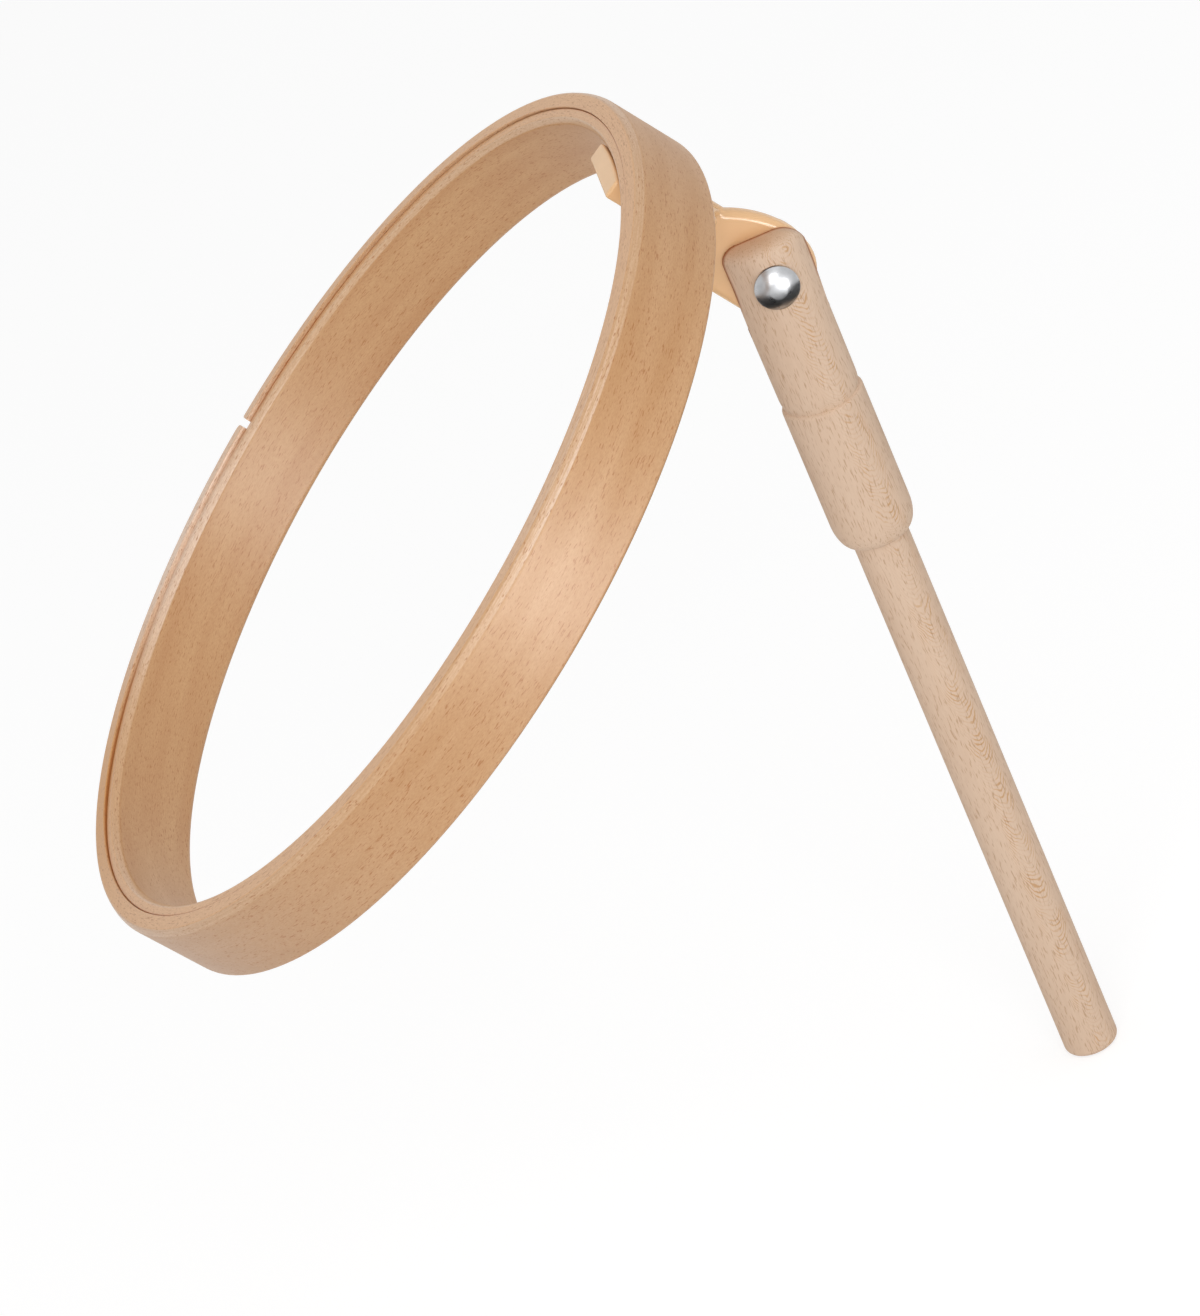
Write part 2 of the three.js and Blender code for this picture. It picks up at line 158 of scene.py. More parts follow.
class HOOP_PG_hinge(bpy.types.PropertyGroup):
    """Sizes of the moulded bracket and its two screws."""

    setback: length("Hinge setback", "Pivot behind the inner band's back edge", 29.3)
    inset: length("Hinge inset", "Pivot inside the inner band's inner face", 3.9)
    seat_gap: length("Seat gap", "Between a piece and what it sits on", 0.3)
    pad_width: length("Pad width", "Round the hoop", 27)
    pad_thickness: length("Pad thickness", "From the band inwards", 6.3)
    pad_setback: length("Pad setback", "Pad's front behind the inner band's", 1.1)
    pad_round: length("Pad rounding", "Of the pad's edges", 0.9)
    shoulder_depth: length("Shoulder depth", "Behind the inner band's back edge", 4)
    flare: length("Flare", "From the shoulder down to the tongue", 4.2)
    tongue_thickness: length("Tongue thickness", "Between the fork's cheeks", 5.4)
    tongue_radius: length("Tongue radius", "Round the pivot", 12.68)
    tongue_top: length("Tongue top", "Long curve's crest above the pivot", 13.4)
    crest_back: length("Crest's place", "Long curve's crest, from the pivot to the hoop", 2.5)
    tongue_round: length("Tongue rounding", "Of the tongue's rim", 2.2)
    back_radius: length("Back radius", "Of the long curve along the tongue's top", 34)
    flat: length("Tongue flat", "Straight stretch along the underside", 15)
    screw_spacing: length("Screw spacing", "Between the two bracket screws", 16)
    screw_diameter: length("Screw diameter", "Of a bracket screw's shaft", 3)
    screw_head: length("Screw head", "Across a bracket screw's head", 6)


class HOOP_PG_stem(bpy.types.PropertyGroup):
    """Sizes of the turned stem."""

    shank: length("Shank", "Across the shank at the collar", 22.2)
    fork: length("Fork", "Across the forked end", 22.8)
    shank_length: length("Shank length", "From the fork's end to the collar", 51.4)
    above_pivot: length("Fork end", "Above the pivot", 12.3)
    fork_round: length("Fork rounding", "Of the fork's end", 4.5)
    back_round: length("Back rounding", "Of the fork's end on the side away from the hoop", 7.4)
    far_round: length("Far rounding", "The same on the wing nut's side", 11)
    far_drop: length("Far drop", "Of the cheek on the wing nut's side", 1.1)
    back_swell: length("Back swell", "Of the fork on the side away from the hoop", 0.3)
    lean: length("Lean", "Of the fork's cheeks away from the hoop", 0.35)
    slot: length("Slot", "Between the fork's cheeks", 6)
    slot_depth: length("Slot floor", "Below the pivot", 14.5)
    collar: length("Collar", "Across the collar", 23.1)
    chamfer: length("Chamfer", "At the collar's top", 2.3)
    groove: length("Groove", "Cut into the shank where it meets the collar", 0.55)
    collar_length: length("Collar length", "Between chamfer and shoulder", 35.6)
    shoulder: length("Shoulder", "Length of the collar's rounded lower end", 7.5)
    step: length("Step", "Ledge where the shoulder meets the dowel", 0.4)
    dowel: length("Dowel", "Across the dowel", 15.8)
    dowel_round: length("Dowel rounding", "Of the dowel's end", 1.8)
    edge: length("Eased edge", "Sanding of the fork's sawn edges", 0.3)


class HOOP_PG_hardware(bpy.types.PropertyGroup):
    """Sizes of the pivot bolt, its washer and its wing nut."""

    bolt: length("Bolt", "Across the bolt's thread", 4.8)
    pitch: length("Pitch", "Of the bolt's thread", 0.8)
    head: length("Head", "Across the bolt's domed head", 12.3)
    head_height: length("Head height", "Of the domed head", 3.3)
    head_rim: length("Head rim", "Upright edge under the dome", 0.5)
    head_flat: length("Head flat", "Pressed flat in the middle of the dome", 4.4)
    neck: length("Neck", "Across the square neck", 5.2)
    neck_length: length("Neck length", "Of the square neck", 3.5)
    hole_slack: length("Hole slack", "All round the bolt in its holes", 0.3)
    spot_depth: length("Spot face", "Depth of the flats under head and washer", 0.6)
    washer: length("Washer", "Across the washer", 12)
    washer_thickness: length("Washer thickness", "Of the washer", 1.2)
    nut_base: length("Nut base", "Across the wing nut's seat", 11)
    nut_top: length("Nut top", "Across the wing nut's outer end", 9)
    nut_height: length("Nut height", "Of the wing nut's hub", 6.5)
    tail: length("Bolt tail", "Thread that shows past the nut", 2.5)
    wing_span: length("Wing span", "From wing tip to wing tip", 26)
    wing_height: length("Wing height", "From the nut's seat to the wing tips", 13)
    wing_thickness: length("Wing thickness", "Of a wing", 2.6)
    wing_turn: FloatProperty(
        name="Wing turn",
        description="How far the wings lean from level",
        default=math.radians(-28),
        subtype="ANGLE",
        unit="ROTATION",
    )


class HOOP_PG_finish(bpy.types.PropertyGroup):
    """Colours of the finishes."""

    outer_light: tint("Outer, light", "Outer band between the streaks", 0xD3A77B)
    outer_dark: tint("Outer, dark", "Outer band in the streaks", 0xC69666)
    inner_light: tint("Inner, light", "Inner band between the streaks", 0xD1A678)
    inner_dark: tint("Inner, dark", "Inner band in the streaks", 0xC49466)
    band_fleck: tint("Band fleck", "Ray flecks in the varnished beech", 0xA8672F)
    band_edge: tint("Band edge", "Sanded bevels of the bands", 0xDEBC99)
    band_front: tint("Band front", "Front edges of the bands", 0xE3B07C)
    # Painted highlight: this near-white tone lies on the front edges round 57° and −125°, over
    # partly sanded wood.
    band_sanded_glint: tint("Band sanded", "Front edges where they are bare or rubbed", 0xF3D8C0)
    # Painted sheen: this greyer tone stands for the floor's reflection where the outer band faces
    # down.
    band_sheen_grey: tint("Band grey", "Outer band where it faces down", 0xC1A288)
    band_warm: tint("Band warm", "Front edges where the varnish lies thick", 0xD29548)
    # Painted shade along the gap where the bands meet.
    band_seam_shade: tint("Band seam", "Front edges where the bands meet", 0xAE5E26)
    stem_light: tint("Stem, light", "Bare beech between the growth lines", 0xE2C7AF)
    stem_dark: tint("Stem, dark", "Bare beech in the growth lines", 0xCFAF93)
    stem_arch: tint("Stem arch", "Growth layers cut across in the bare beech", 0xC7935C)
    stem_fleck: tint("Stem fleck", "Ray flecks in the bare beech", 0xAC7F58)
    # End grain at the fork's end, darkened further as painted shade.
    stem_end_grain_shade: tint("Stem end", "End grain at the fork's end", 0xC09570)
    # Painted shade: this dark tone lines the cheeks beside the slot, for the contact shadow
    # against the tongue.
    stem_painted_shade: tint("Stem, sawn", "Edges that the saw scorched", 0x9C5220)
    plastic: tint("Moulding", "Peach plastic of the bracket", 0xF3C694)
    steel: tint("Steel", "Bright plating of bolt, nut, washer and screws", 0xC0C1C3)
    floor: tint("Floor", "Studio floor", 0xF4F4F4)


GROUPS = {
    "hoop_bands": HOOP_PG_bands,
    "hoop_hinge": HOOP_PG_hinge,
    "hoop_stem": HOOP_PG_stem,
    "hoop_hardware": HOOP_PG_hardware,
    "hoop_finish": HOOP_PG_finish,
}


def plan(scene):
    """Sizes that follow from the properties. Heights on the hoop run from the pivot."""
    bands, hinge = scene.hoop_bands, scene.hoop_hinge
    stem, metal = scene.hoop_stem, scene.hoop_hardware
    p = SimpleNamespace()
    p.outer_outside = bands.diameter / 2
    p.outer_inside = p.outer_outside - bands.outer_thickness
    p.inner_outside = p.outer_inside - bands.clearance
    p.inner_inside = p.inner_outside - bands.inner_thickness
    p.axis_drop = p.inner_inside - hinge.inset
    p.inner_back = hinge.setback
    p.inner_front = p.inner_back + bands.inner_depth
    p.outer_front = p.inner_front + bands.setback
    p.outer_back = p.outer_front - bands.outer_depth
    p.pad_outside = p.inner_inside - hinge.seat_gap
    p.pad_inside = p.pad_outside - hinge.pad_thickness
    p.pad_front = p.inner_front - hinge.pad_setback
    p.shoulder_front = p.inner_back - hinge.seat_gap
    p.shoulder_back = p.shoulder_front - hinge.shoulder_depth
    p.flare_end = p.shoulder_back - hinge.flare
    p.screw_height = (p.pad_front + p.shoulder_front) / 2
    p.screw_turn = math.asin(hinge.screw_spacing / 2 / p.inner_inside)
    p.stem_top = PIVOT.z + stem.above_pivot
    p.chamfer_top = p.stem_top - stem.shank_length
    p.collar_top = p.chamfer_top - stem.chamfer
    p.collar_bottom = p.collar_top - stem.collar_length
    p.dowel_top = p.collar_bottom - stem.shoulder
    p.spot_face = stem.fork / 2 - metal.spot_depth
    p.head_seat = p.spot_face + hinge.seat_gap
    p.washer_face = p.head_seat + metal.washer_thickness
    p.nut_seat = p.washer_face + hinge.seat_gap
    p.bolt_end = p.nut_seat + metal.nut_height + metal.tail
    p.hole = metal.bolt / 2 + metal.hole_slack
    p.hoop_place = (
        Matrix.Translation(PIVOT)
        @ Matrix.Rotation(TILT, 4, "X")
        @ Matrix.Translation((0, -p.axis_drop, 0))
    )
    return p


# Modelling


def outline(points, closed=True):
    """Bmesh with one flat face, or with the open line, through a few corner points."""
    bm = bmesh.new()
    corners = [bm.verts.new(point) for point in points]
    if closed:
        bm.faces.new(corners)
    else:
        for start, end in zip(corners, corners[1:]):
            bm.edges.new((start, end))
    return bm


def curve(count, *points):
    """Points of a curve between two ends, drawn by the one or two points between them."""
    knots = [Vector(point) for point in points]
    if len(knots) == 3:
        start, pull, end = knots
        knots = [start, start.lerp(pull, 2 / 3), end.lerp(pull, 2 / 3), end]
    return [tuple(knot) for knot in interpolate_bezier(*knots, count)]


def round_corners(bm, corners, radius, segments, affect="VERTICES"):
    """Rounds corners of a flat face or line, or edges of a solid."""
    bmesh.ops.bevel(
        bm, geom=corners, affect=affect, offset=radius, segments=segments, profile=0.5
    )


def round_edges(bm, edges, radius, segments):
    """Rounds edges of a solid."""
    round_corners(bm, edges, radius, segments, "EDGES")


def round_rim(bm, axis, thickness, radius, segments):
    """Rounds a plate's rim, but not the short edges across it."""
    edges = []
    for edge in sharp_edges(bm, degrees=60):
        first, last = edge.verts
        if abs(first.co[axis] - last.co[axis]) < thickness / 2:
            edges.append(edge)
    round_edges(bm, edges, radius, segments)


def sharp_edges(bm, degrees=30):
    """Edges where two faces meet at more than an angle."""
    limit = math.radians(degrees)
    return [edge for edge in bm.edges if edge.calc_face_angle(0.0) > limit]


def turn(bm, axis, steps, centre=(0, 0, 0)):
    """Turns an outline once round an axis into a closed piece."""
    bmesh.ops.delete(bm, geom=bm.faces[:], context="FACES_ONLY")
    wire = bm.verts[:] + bm.edges[:]
    bmesh.ops.spin(
        bm, geom=wire, cent=centre, axis=axis, angle=math.tau, steps=steps, use_merge=True
    )
    tidy(bm)
    return bm


def lathe(bm, steps):
    """Turns an outline that lies along the Z axis into a solid."""
    bmesh.ops.delete(bm, geom=bm.faces[:], context="FACES_ONLY")
    axis = [edge for edge in bm.edges if all(vert.co.x < CLOSE for vert in edge.verts)]
    bmesh.ops.delete(bm, geom=axis, context="EDGES")
    return turn(bm, (0, 0, 1), steps)


def move(bm, travel):
    """Moves a solid."""
    bmesh.ops.translate(bm, verts=bm.verts, vec=travel)


def rotate(bm, angle, axis):
    """Turns a solid about one of the frame's axes."""
    bmesh.ops.rotate(bm, verts=bm.verts, matrix=Matrix.Rotation(angle, 3, axis))


def slice_at(bm, place, normal, **options):
    """Cuts the faces along a plane, and gives the parts on it."""
    parts = bm.verts[:] + bm.edges[:] + bm.faces[:]
    return bmesh.ops.bisect_plane(
        bm, geom=parts, plane_co=place, plane_no=normal, **options
    )["geom_cut"]


def push(bm, travel):
    """Pushes a flat face along a vector into a solid."""
    grown = bmesh.ops.extrude_face_region(bm, geom=bm.faces[:])["geom"]
    moved = [part for part in grown if isinstance(part, bmesh.types.BMVert)]
    bmesh.ops.translate(bm, verts=moved, vec=travel)
    tidy(bm)
    return bm


def tidy(bm):
    """Merges doubles and turns the faces outwards."""
    bmesh.ops.remove_doubles(bm, verts=bm.verts, dist=0.001 * MM)
    bmesh.ops.recalc_face_normals(bm, faces=bm.faces)


def block(low, high):
    """Box between two corners, as a tool for cutting."""
    bm = bmesh.new()
    bmesh.ops.create_cube(bm, size=1.0)
    low, high = Vector(low), Vector(high)
    bmesh.ops.scale(bm, vec=high - low, verts=bm.verts)
    move(bm, (low + high) / 2)
    return bm


def upright(radius, height, sides):
    """Round bar along Z, as a tool for cutting."""
    bm = bmesh.new()
    bmesh.ops.create_cone(
        bm, cap_ends=True, segments=sides, radius1=radius, radius2=radius, depth=height
    )
    return bm


def bar(radius, start, end, height):
    """Round bar along X at a height, as a tool for cutting."""
    bm = upright(radius, end - start, METAL_STEPS)
    rotate(bm, math.pi / 2, "Y")
    move(bm, ((start + end) / 2, 0, height))
    return bm


def combine(body, tool, operation):
    """Joins two solids, or cuts the first by the second. Both are used up."""
    first, second = (add_object("working_solid", solid) for solid in (body, tool))
    modifier = first.modifiers.new("combine", "BOOLEAN")
    modifier.operation = operation
    modifier.solver = "EXACT"
    modifier.object = second
    result = bmesh.new()
    result.from_object(first, bpy.context.evaluated_depsgraph_get())
    for item in (first, second):
        bpy.data.meshes.remove(item.data)
    if not result.faces:
        raise RuntimeError("two solids could not be combined")
    return result


def cut(body, *tools):
    """Cuts a solid by others, one after another."""
    for tool in tools:
        body = combine(body, tool, "DIFFERENCE")
    return body


def add_object(name, bm, material=None):
    """Makes a bmesh an object of the scene. The bmesh is used up."""
    mesh = bpy.data.meshes.new(name)
    bm.to_mesh(mesh)
    bm.free()
    if material:
        mesh.materials.append(material)
    item = bpy.data.objects.new(name, mesh)
    bpy.context.scene.collection.objects.link(item)
    return item


def place_piece(name, bm, material, body, node):
    """Makes a finished solid a piece that stands for a CAD node."""
    tidy(bm)
    piece = add_object(name, bm, material)
    piece.data.shade_smooth()
    piece.data.set_sharp_from_angle(angle=math.radians(35))
    piece.modifiers.new("flat_faces_stay_flat", "WEIGHTED_NORMAL").keep_sharp = True
    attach(piece, body)
    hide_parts(node)


# Materials


def add_node(tree, kind, inputs=None, **settings):
    """Adds a node with its settings. Each input is a value, or a socket to link."""
    node = tree.nodes.new("ShaderNode" + kind)
    for name, value in settings.items():
        setattr(node, name, value)
    for key, value in (inputs or {}).items():
        if isinstance(value, bpy.types.NodeSocket):
            tree.links.new(value, node.inputs[key])
        else:
            node.inputs[key].default_value = value
    return node


def maths(tree, operation, *values):
    """Result of an operation on values or sockets."""
    return add_node(tree, "Math", dict(enumerate(values)), operation=operation).outputs[0]


def along(tree, point, direction):
    """How far a point lies along a direction."""
    part = add_node(tree, "VectorMath", {0: point, 1: direction}, operation="DOT_PRODUCT")
    return part.outputs["Value"]


def product(tree, result, *factors):
    """Product of a few factors."""
    for factor in factors:
        result = maths(tree, "MULTIPLY", result, factor)
    return result


def ramp(tree, value, start, end, low=0.0, high=1.0, shape="SMOOTHSTEP"):
    """Change from a low to a high value between two places."""
    limits = {0: value, 1: start, 2: end, 3: low, 4: high}
    return add_node(tree, "MapRange", limits, interpolation_type=shape).outputs[0]


def tinted(tree, tone, *coats):
    """Lays colours over a tone one after another, each by its factor."""
    for factor, colour in coats:
        layers = {0: factor, 6: tone, 7: opaque(colour)}
        tone = add_node(tree, "Mix", layers, data_type="RGBA").outputs[2]
    return tone


def output(tree, shader):
    """Makes a shader the material's surface."""
    add_node(tree, "OutputMaterial", {"Surface": shader.outputs[0]})


def surface(tree, inputs, height, strength, distance, invert=False):
    """Principled surface with a fine relief."""
    relief = {"Strength": strength, "Distance": distance, "Height": height}
    bump = add_node(tree, "Bump", relief, invert=invert)
    output(tree, add_node(tree, "BsdfPrincipled", {**inputs, "Normal": bump.outputs[0]}))


def object_point(tree):
    """Place on the piece, in the shared frame."""
    return add_node(tree, "TexCoord").outputs["Object"]


def blank_material(name):
    """New material with an empty node tree."""
    material = bpy.data.materials.new(name)
    material.use_nodes = True
    material.node_tree.nodes.clear()
    return material, material.node_tree


def opaque(colour):
    """Colour with full alpha, for a node's socket."""
    return (*colour, 1.0)


def band_coordinates(tree, place, band):
    """Length round the hoop, depth from the settled edge, distance and soft patches."""
    shift = {
        "Vector": object_point(tree),
        "Location": place.translation,
        "Rotation": (TILT, 0, 0),
    }
    local = add_node(tree, "Mapping", shift, vector_type="TEXTURE")
    x, y, z = add_node(tree, "SeparateXYZ", {0: local.outputs[0]}).outputs
    angle = maths(tree, "ARCTAN2", x, y)
    arc = product(
        tree, maths(tree, "WRAP", angle, band.seam + math.tau, band.seam), band.radius
    )
    flat = add_node(tree, "CombineXYZ", {"X": x, "Y": y})
    out = add_node(tree, "VectorMath", {0: flat.outputs[0]}, operation="LENGTH")
    out = out.outputs["Value"]
    rolled = add_node(tree, "CombineXYZ", {"X": arc, "Y": z, "Z": out}).outputs[0]
    centre, setback = band.settled
    depth = maths(
        tree, "MULTIPLY_ADD", patch(tree, angle, centre, SETTLE_SPREAD), setback, z
    )
    patches = {
        name: patch(tree, angle, math.radians(centre), width)
        for name, (centre, width) in PATCHES.items()
    }
    return rolled, depth, out, SimpleNamespace(**patches)


def patch(tree, angle, centre, width):
    """Share of a soft patch round a band: one at its centre, fading out on both sides."""
    spread = math.radians(width)
    around = maths(tree, "WRAP", angle, centre + math.pi, centre - math.pi)
    gap = maths(tree, "MULTIPLY_ADD", around, 1 / spread, -centre / spread)
    return maths(tree, "EXPONENT", product(tree, gap, gap, -1.0))


def grain_layers(tree, point, *layers):
    """Noise stretched to sizes in millimetres: a factor for each layer."""
    for sizes, detail, low, high in layers:
        scale = {"Vector": point, "Scale": [1 / (size * MM) for size in sizes]}
        scaled = add_node(tree, "Mapping", scale).outputs[0]
        grain = {"Vector": scaled, "Scale": 1.0, "Detail": detail}
        noise = add_node(tree, "TexNoise", grain).outputs[0]
        yield ramp(tree, noise, low, high, shape="LINEAR")


def bent_beech(name, light, dark, colours, place, band):
    """Steam-bent beech under clear satin varnish.

    Warm orange-tan, with soft streaks, fine fibres and short ray flecks along the bend.
    The sanded front edge is paler, and the varnish gives a broad, soft sheen. Painted highlights
    lie on the front edges, a painted sheen on the outer band where it faces down, and painted
    shade along the seam.
    """
    material, tree = blank_material(name)
    rolled, depth, out, patches = band_coordinates(tree, place, band)
    streak, fibre, speckle, dash, line = grain_layers(
        tree,
        rolled,
        ((60, 6, 6), 3.0, 0.3, 0.7),
        ((5, 0.35, 0.35), 2.0, 0.3, 0.7),
        ((0.9, 0.3, 0.3), 2.0, 0.38, 0.72),
        ((2.0, 0.34, 0.34), 1.0, *band.dashes),
        ((45, 0.5, 0.5), 2.0, 0.4, 0.62),
    )
    bevel = band.front - band.rounding
    edge = ramp(tree, depth, bevel - 0.1 * MM, bevel + 0.25 * MM)
    flat = ramp(tree, depth, band.front - 0.22 * MM, band.front - 0.04 * MM, high=0.85)
    # Painted highlight: a pale line where the bevel meets the face stands for light caught by
    # that rounding, and pale streaks along the front edges stand for highlights.
    rim = product(
        tree,
        ramp(tree, depth, bevel - 0.1 * MM, bevel + 0.1 * MM),
        ramp(tree, depth, bevel + 0.9 * MM, bevel + 0.4 * MM),
    )
    glint_lines = product(tree, edge, ramp(tree, line, 0.3, 0.9, low=0.1, high=0.75))
    glint_lines = maths(tree, "MAXIMUM", glint_lines, rim)
    # Painted shade: the faces beside the gap between the bands are tinted orange-brown, for the
    # shade in that gap.
    raised = max(band.shade, 0.0) * 0.9
    top = maths(tree, "MULTIPLY_ADD", patches.wide, raised, band.front - band.shade)
    below = maths(tree, "SUBTRACT", top, depth)
    reach = band.facing + band.inwards * 0.5 * MM
    reach = maths(tree, "MULTIPLY_ADD", patches.wide, band.inwards * 0.8 * MM, reach)
    seam = product(
        tree,
        ramp(tree, out, reach, band.facing, high=0.85),
        ramp(tree, below, 0.0, 0.4 * MM),
        ramp(tree, below, 2.4 * MM, 1.6 * MM),
        ramp(tree, patches.sanded, 0.0, 0.8, low=1.0, high=0.0),
        ramp(tree, patches.wide, 0.0, 1.0, low=1.0, high=0.72),
    )
    tone = tinted(
        tree,
        opaque(light),
        (streak, dark),
        # Painted sheen: a greyer tone where the outer band faces down stands for the floor's
        # reflection.
        (product(tree, patches.greyed, band.greyed), colours.band_sheen_grey),
        (product(tree, edge, ramp(tree, line, 0.0, 1.0, *band.pale)), colours.band_edge),
        (flat, colours.band_front),
        # Front edges round −125° painted near white: sanded wood with a painted highlight.
        (product(tree, edge, patches.sanded), colours.band_sanded_glint),
        # Painted highlight streaks on the front edges round 57°.
        (product(tree, glint_lines, patches.rubbed, 0.85), colours.band_sanded_glint),
        (product(tree, edge, patches.wide, band.warm), colours.band_warm),
        (product(tree, fibre, 0.3), dark),
        (product(tree, speckle, 0.26), colours.band_fleck),
        (product(tree, dash, 0.68), colours.band_fleck),
        (seam, colours.band_seam_shade),
    )
    shine = ramp(tree, edge, 0.0, 1.0, low=0.46, high=0.33)
    finish = {"Base Color": tone, "Roughness": shine, "IOR": 1.5}
    surface(tree, finish, dash, strength=0.1, distance=0.04 * MM, invert=True)
    return material


def turned_beech(colours, fork):
    """Beech turned on a lathe and sanded, without varnish.

    Pale pinkish tan and matt. The growth layers lie almost along the stem, so the turning
    cuts them into a column of narrow nested arches, with thin ray flecks all round.
    """
    material, tree = blank_material("turned_beech")
    point = object_point(tree)
    wobble, drift, fibre, cloud, heart, flecks = grain_layers(
        tree,
        point,
        ((6, 6, 10), 3.0, 0.2, 0.8),
        ((30, 30, 26), 1.0, 0.25, 0.75),
        ((0.35, 0.35, 6), 2.0, 0.3, 0.7),
        ((9, 9, 45), 2.0, 0.3, 0.7),
        ((3, 3, 7), 1.0, 0.48, 0.66),
        ((0.38, 0.38, 3.0), 1.0, 0.57, 0.7),
    )
    slant, facing, layer_width = math.radians(9), math.radians(25), 0.27 * MM
    wander, middle, ripple = 2.4 * MM, 1.2 * MM, 17.0
    across = along(tree, point, (-math.sin(facing), math.cos(facing), 0))
    across = maths(tree, "MULTIPLY_ADD", drift, wander, across)
    aside = maths(tree, "ABSOLUTE", maths(tree, "SUBTRACT", across, middle))
    level = math.cos(slant)
    layer = along(
        tree, point, (level * math.cos(facing), level * math.sin(facing), math.sin(slant))
    )
    turns = product(tree, layer, math.tau / layer_width)
    wave = maths(tree, "SINE", maths(tree, "MULTIPLY_ADD", wobble, ripple, turns))
    column = ramp(tree, aside, 6.0 * MM, 2.0 * MM)
    arch = product(tree, ramp(tree, wave, 0.15, 0.95), column)
    x, _, z = add_node(tree, "SeparateXYZ", {0: point}).outputs
    beside = maths(tree, "ABSOLUTE", x)
    # Painted shade: the wood beside the slot is darkened for the contact shadow against the
    # tongue.
    sawn = product(
        tree,
        ramp(tree, beside, fork.cheek + 1.6 * MM, fork.cheek + 0.3 * MM, high=0.9),
        ramp(tree, z, fork.end - 21 * MM, fork.end - 14 * MM),
    )
    tone = tinted(
        tree,
        opaque(colours.stem_light),
        (product(tree, cloud, 0.3), colours.stem_dark),
        (product(tree, fibre, 0.26), colours.stem_dark),
        (product(tree, arch, 0.15), colours.stem_arch),
        (product(tree, arch, heart, 0.65), colours.stem_arch),
        (product(tree, flecks, 0.5), colours.stem_fleck),
        # End grain at the fork's end, darker partly as painted shade.
        (ramp(tree, z, fork.end - 3 * MM, fork.end, high=0.5), colours.stem_end_grain_shade),
        (sawn, colours.stem_painted_shade),
    )
    finish = {"Base Color": tone, "Roughness": 0.7, "IOR": 1.45, "Specular IOR Level": 0.25}
    surface(tree, finish, flecks, strength=0.25, distance=0.05 * MM, invert=True)
    return material


def moulded_plastic(colours):
    """Injection-moulded ABS in a peach colour.

    Smooth and glossy, with the faint unevenness that shrinkage leaves in a moulding.
    """
    material, tree = blank_material("moulded_abs")
    sink, grain = grain_layers(
        tree,
        object_point(tree),
        ((9, 9, 9), 1.0, 0.3, 0.7),
        ((0.5, 0.5, 0.5), 1.0, 0.3, 0.7),
    )
    deeper = [channel * 0.93 for channel in colours.plastic]
    tone = tinted(tree, opaque(colours.plastic), (sink, deeper))
    gloss = ramp(tree, grain, 0.0, 1.0, low=0.2, high=0.27, shape="LINEAR")
    finish = {"Base Color": tone, "Roughness": gloss, "IOR": 1.46}
    surface(tree, finish, sink, strength=0.08, distance=0.03 * MM)
    return material


def plated_steel(colours):
    """Steel with bright zinc plating.

    Mirror-like but slightly clouded, with fine dents from tumbling in the barrel.
    """
    material, tree = blank_material("zinc_plated_steel")
    cloud, dents = grain_layers(
        tree,
        object_point(tree),
        ((2.5, 2.5, 2.5), 3.0, 0.3, 0.7),
        ((0.7, 0.7, 0.7), 2.0, 0.3, 0.7),
    )
    deeper = [channel * 0.78 for channel in colours.steel]
    tone = tinted(tree, opaque(colours.steel), (cloud, deeper))
    gloss = ramp(tree, cloud, 0.0, 1.0, low=0.26, high=0.38, shape="LINEAR")
    finish = {"Base Color": tone, "Metallic": 1.0, "Roughness": gloss}
    surface(tree, finish, dents, strength=0.12, distance=0.05 * MM)
    return material


def seen_directly(tree):
    """One for rays that show the surroundings: camera, glossy and transmission rays."""
    path = add_node(tree, "LightPath").outputs
    gloss = maths(tree, "MAXIMUM", path["Is Camera Ray"], path["Is Glossy Ray"])
    return maths(tree, "MAXIMUM", gloss, path["Is Transmission Ray"])


def studio_floor(colours):
    """Pale paper sweep: matt white that keeps a faint shadow."""
    material, tree = blank_material("paper_sweep")
    paper = add_node(tree, "BsdfDiffuse", {"Color": opaque(colours.floor)}).outputs[0]
    white = add_node(tree, "Emission", {"Strength": 1.2}).outputs[0]
    share = product(tree, seen_directly(tree), 0.6)
    output(tree, add_node(tree, "MixShader", {0: share, 1: paper, 2: white}))
    return material


def black_card():
    """Matt black card."""
    material, tree = blank_material("black_card")
    output(tree, add_node(tree, "BsdfDiffuse", {"Color": opaque((0.03, 0.03, 0.03))}))
    return material


def steel_of(scene):
    """The plated steel that all the hardware shares."""
    return bpy.data.materials.get("zinc_plated_steel") or plated_steel(scene.hoop_finish)


# Pieces


def band_section(*corners):
    """Cross-section of a band on the bracket's side of the hoop.

    Each corner has its distance from the hoop's axis, its height and its rounding.
    """
    bm = outline([(0, out, height) for out, height, _ in corners])
    for vert, (_, _, rounding) in zip(bm.verts[:], corners):
        round_corners(bm, [vert], rounding, segments=5)
    return bm


def screw_solid(scene, p, side, slack=SLACK):
    """Countersunk screw along a radius of the hoop, or with slack the hole for it."""
    hinge = scene.hoop_hinge
    countersink, point, wall, mouth = 1.6 * MM, 1.5 * MM, 1.2 * MM, 1.4 * MM
    head = hinge.screw_head / 2 + slack
    shaft = hinge.screw_diameter / 2 + slack
    face = p.inner_outside - SCREW_SUNK
    top = face + (mouth if slack else 0)
    tip = p.pad_inside + wall - slack
    points = [(0, tip), (shaft, tip + point), (shaft, face - countersink), (head, face)]
    if slack:
        points.append((head, top))
    points.append((0, top))
    bm = outline([(x, y, p.screw_height) for x, y in points], closed=False)
    turn(bm, (0, 1, 0), SCREW_STEPS, (0, 0, p.screw_height))
    rotate(bm, -side * p.screw_turn, "Z")
    return bm


def drilled(scene, p, bm):
    """A piece with the holes for the bracket's two screws."""
    return cut(bm, *(screw_solid(scene, p, side) for side in (-1, 1)))


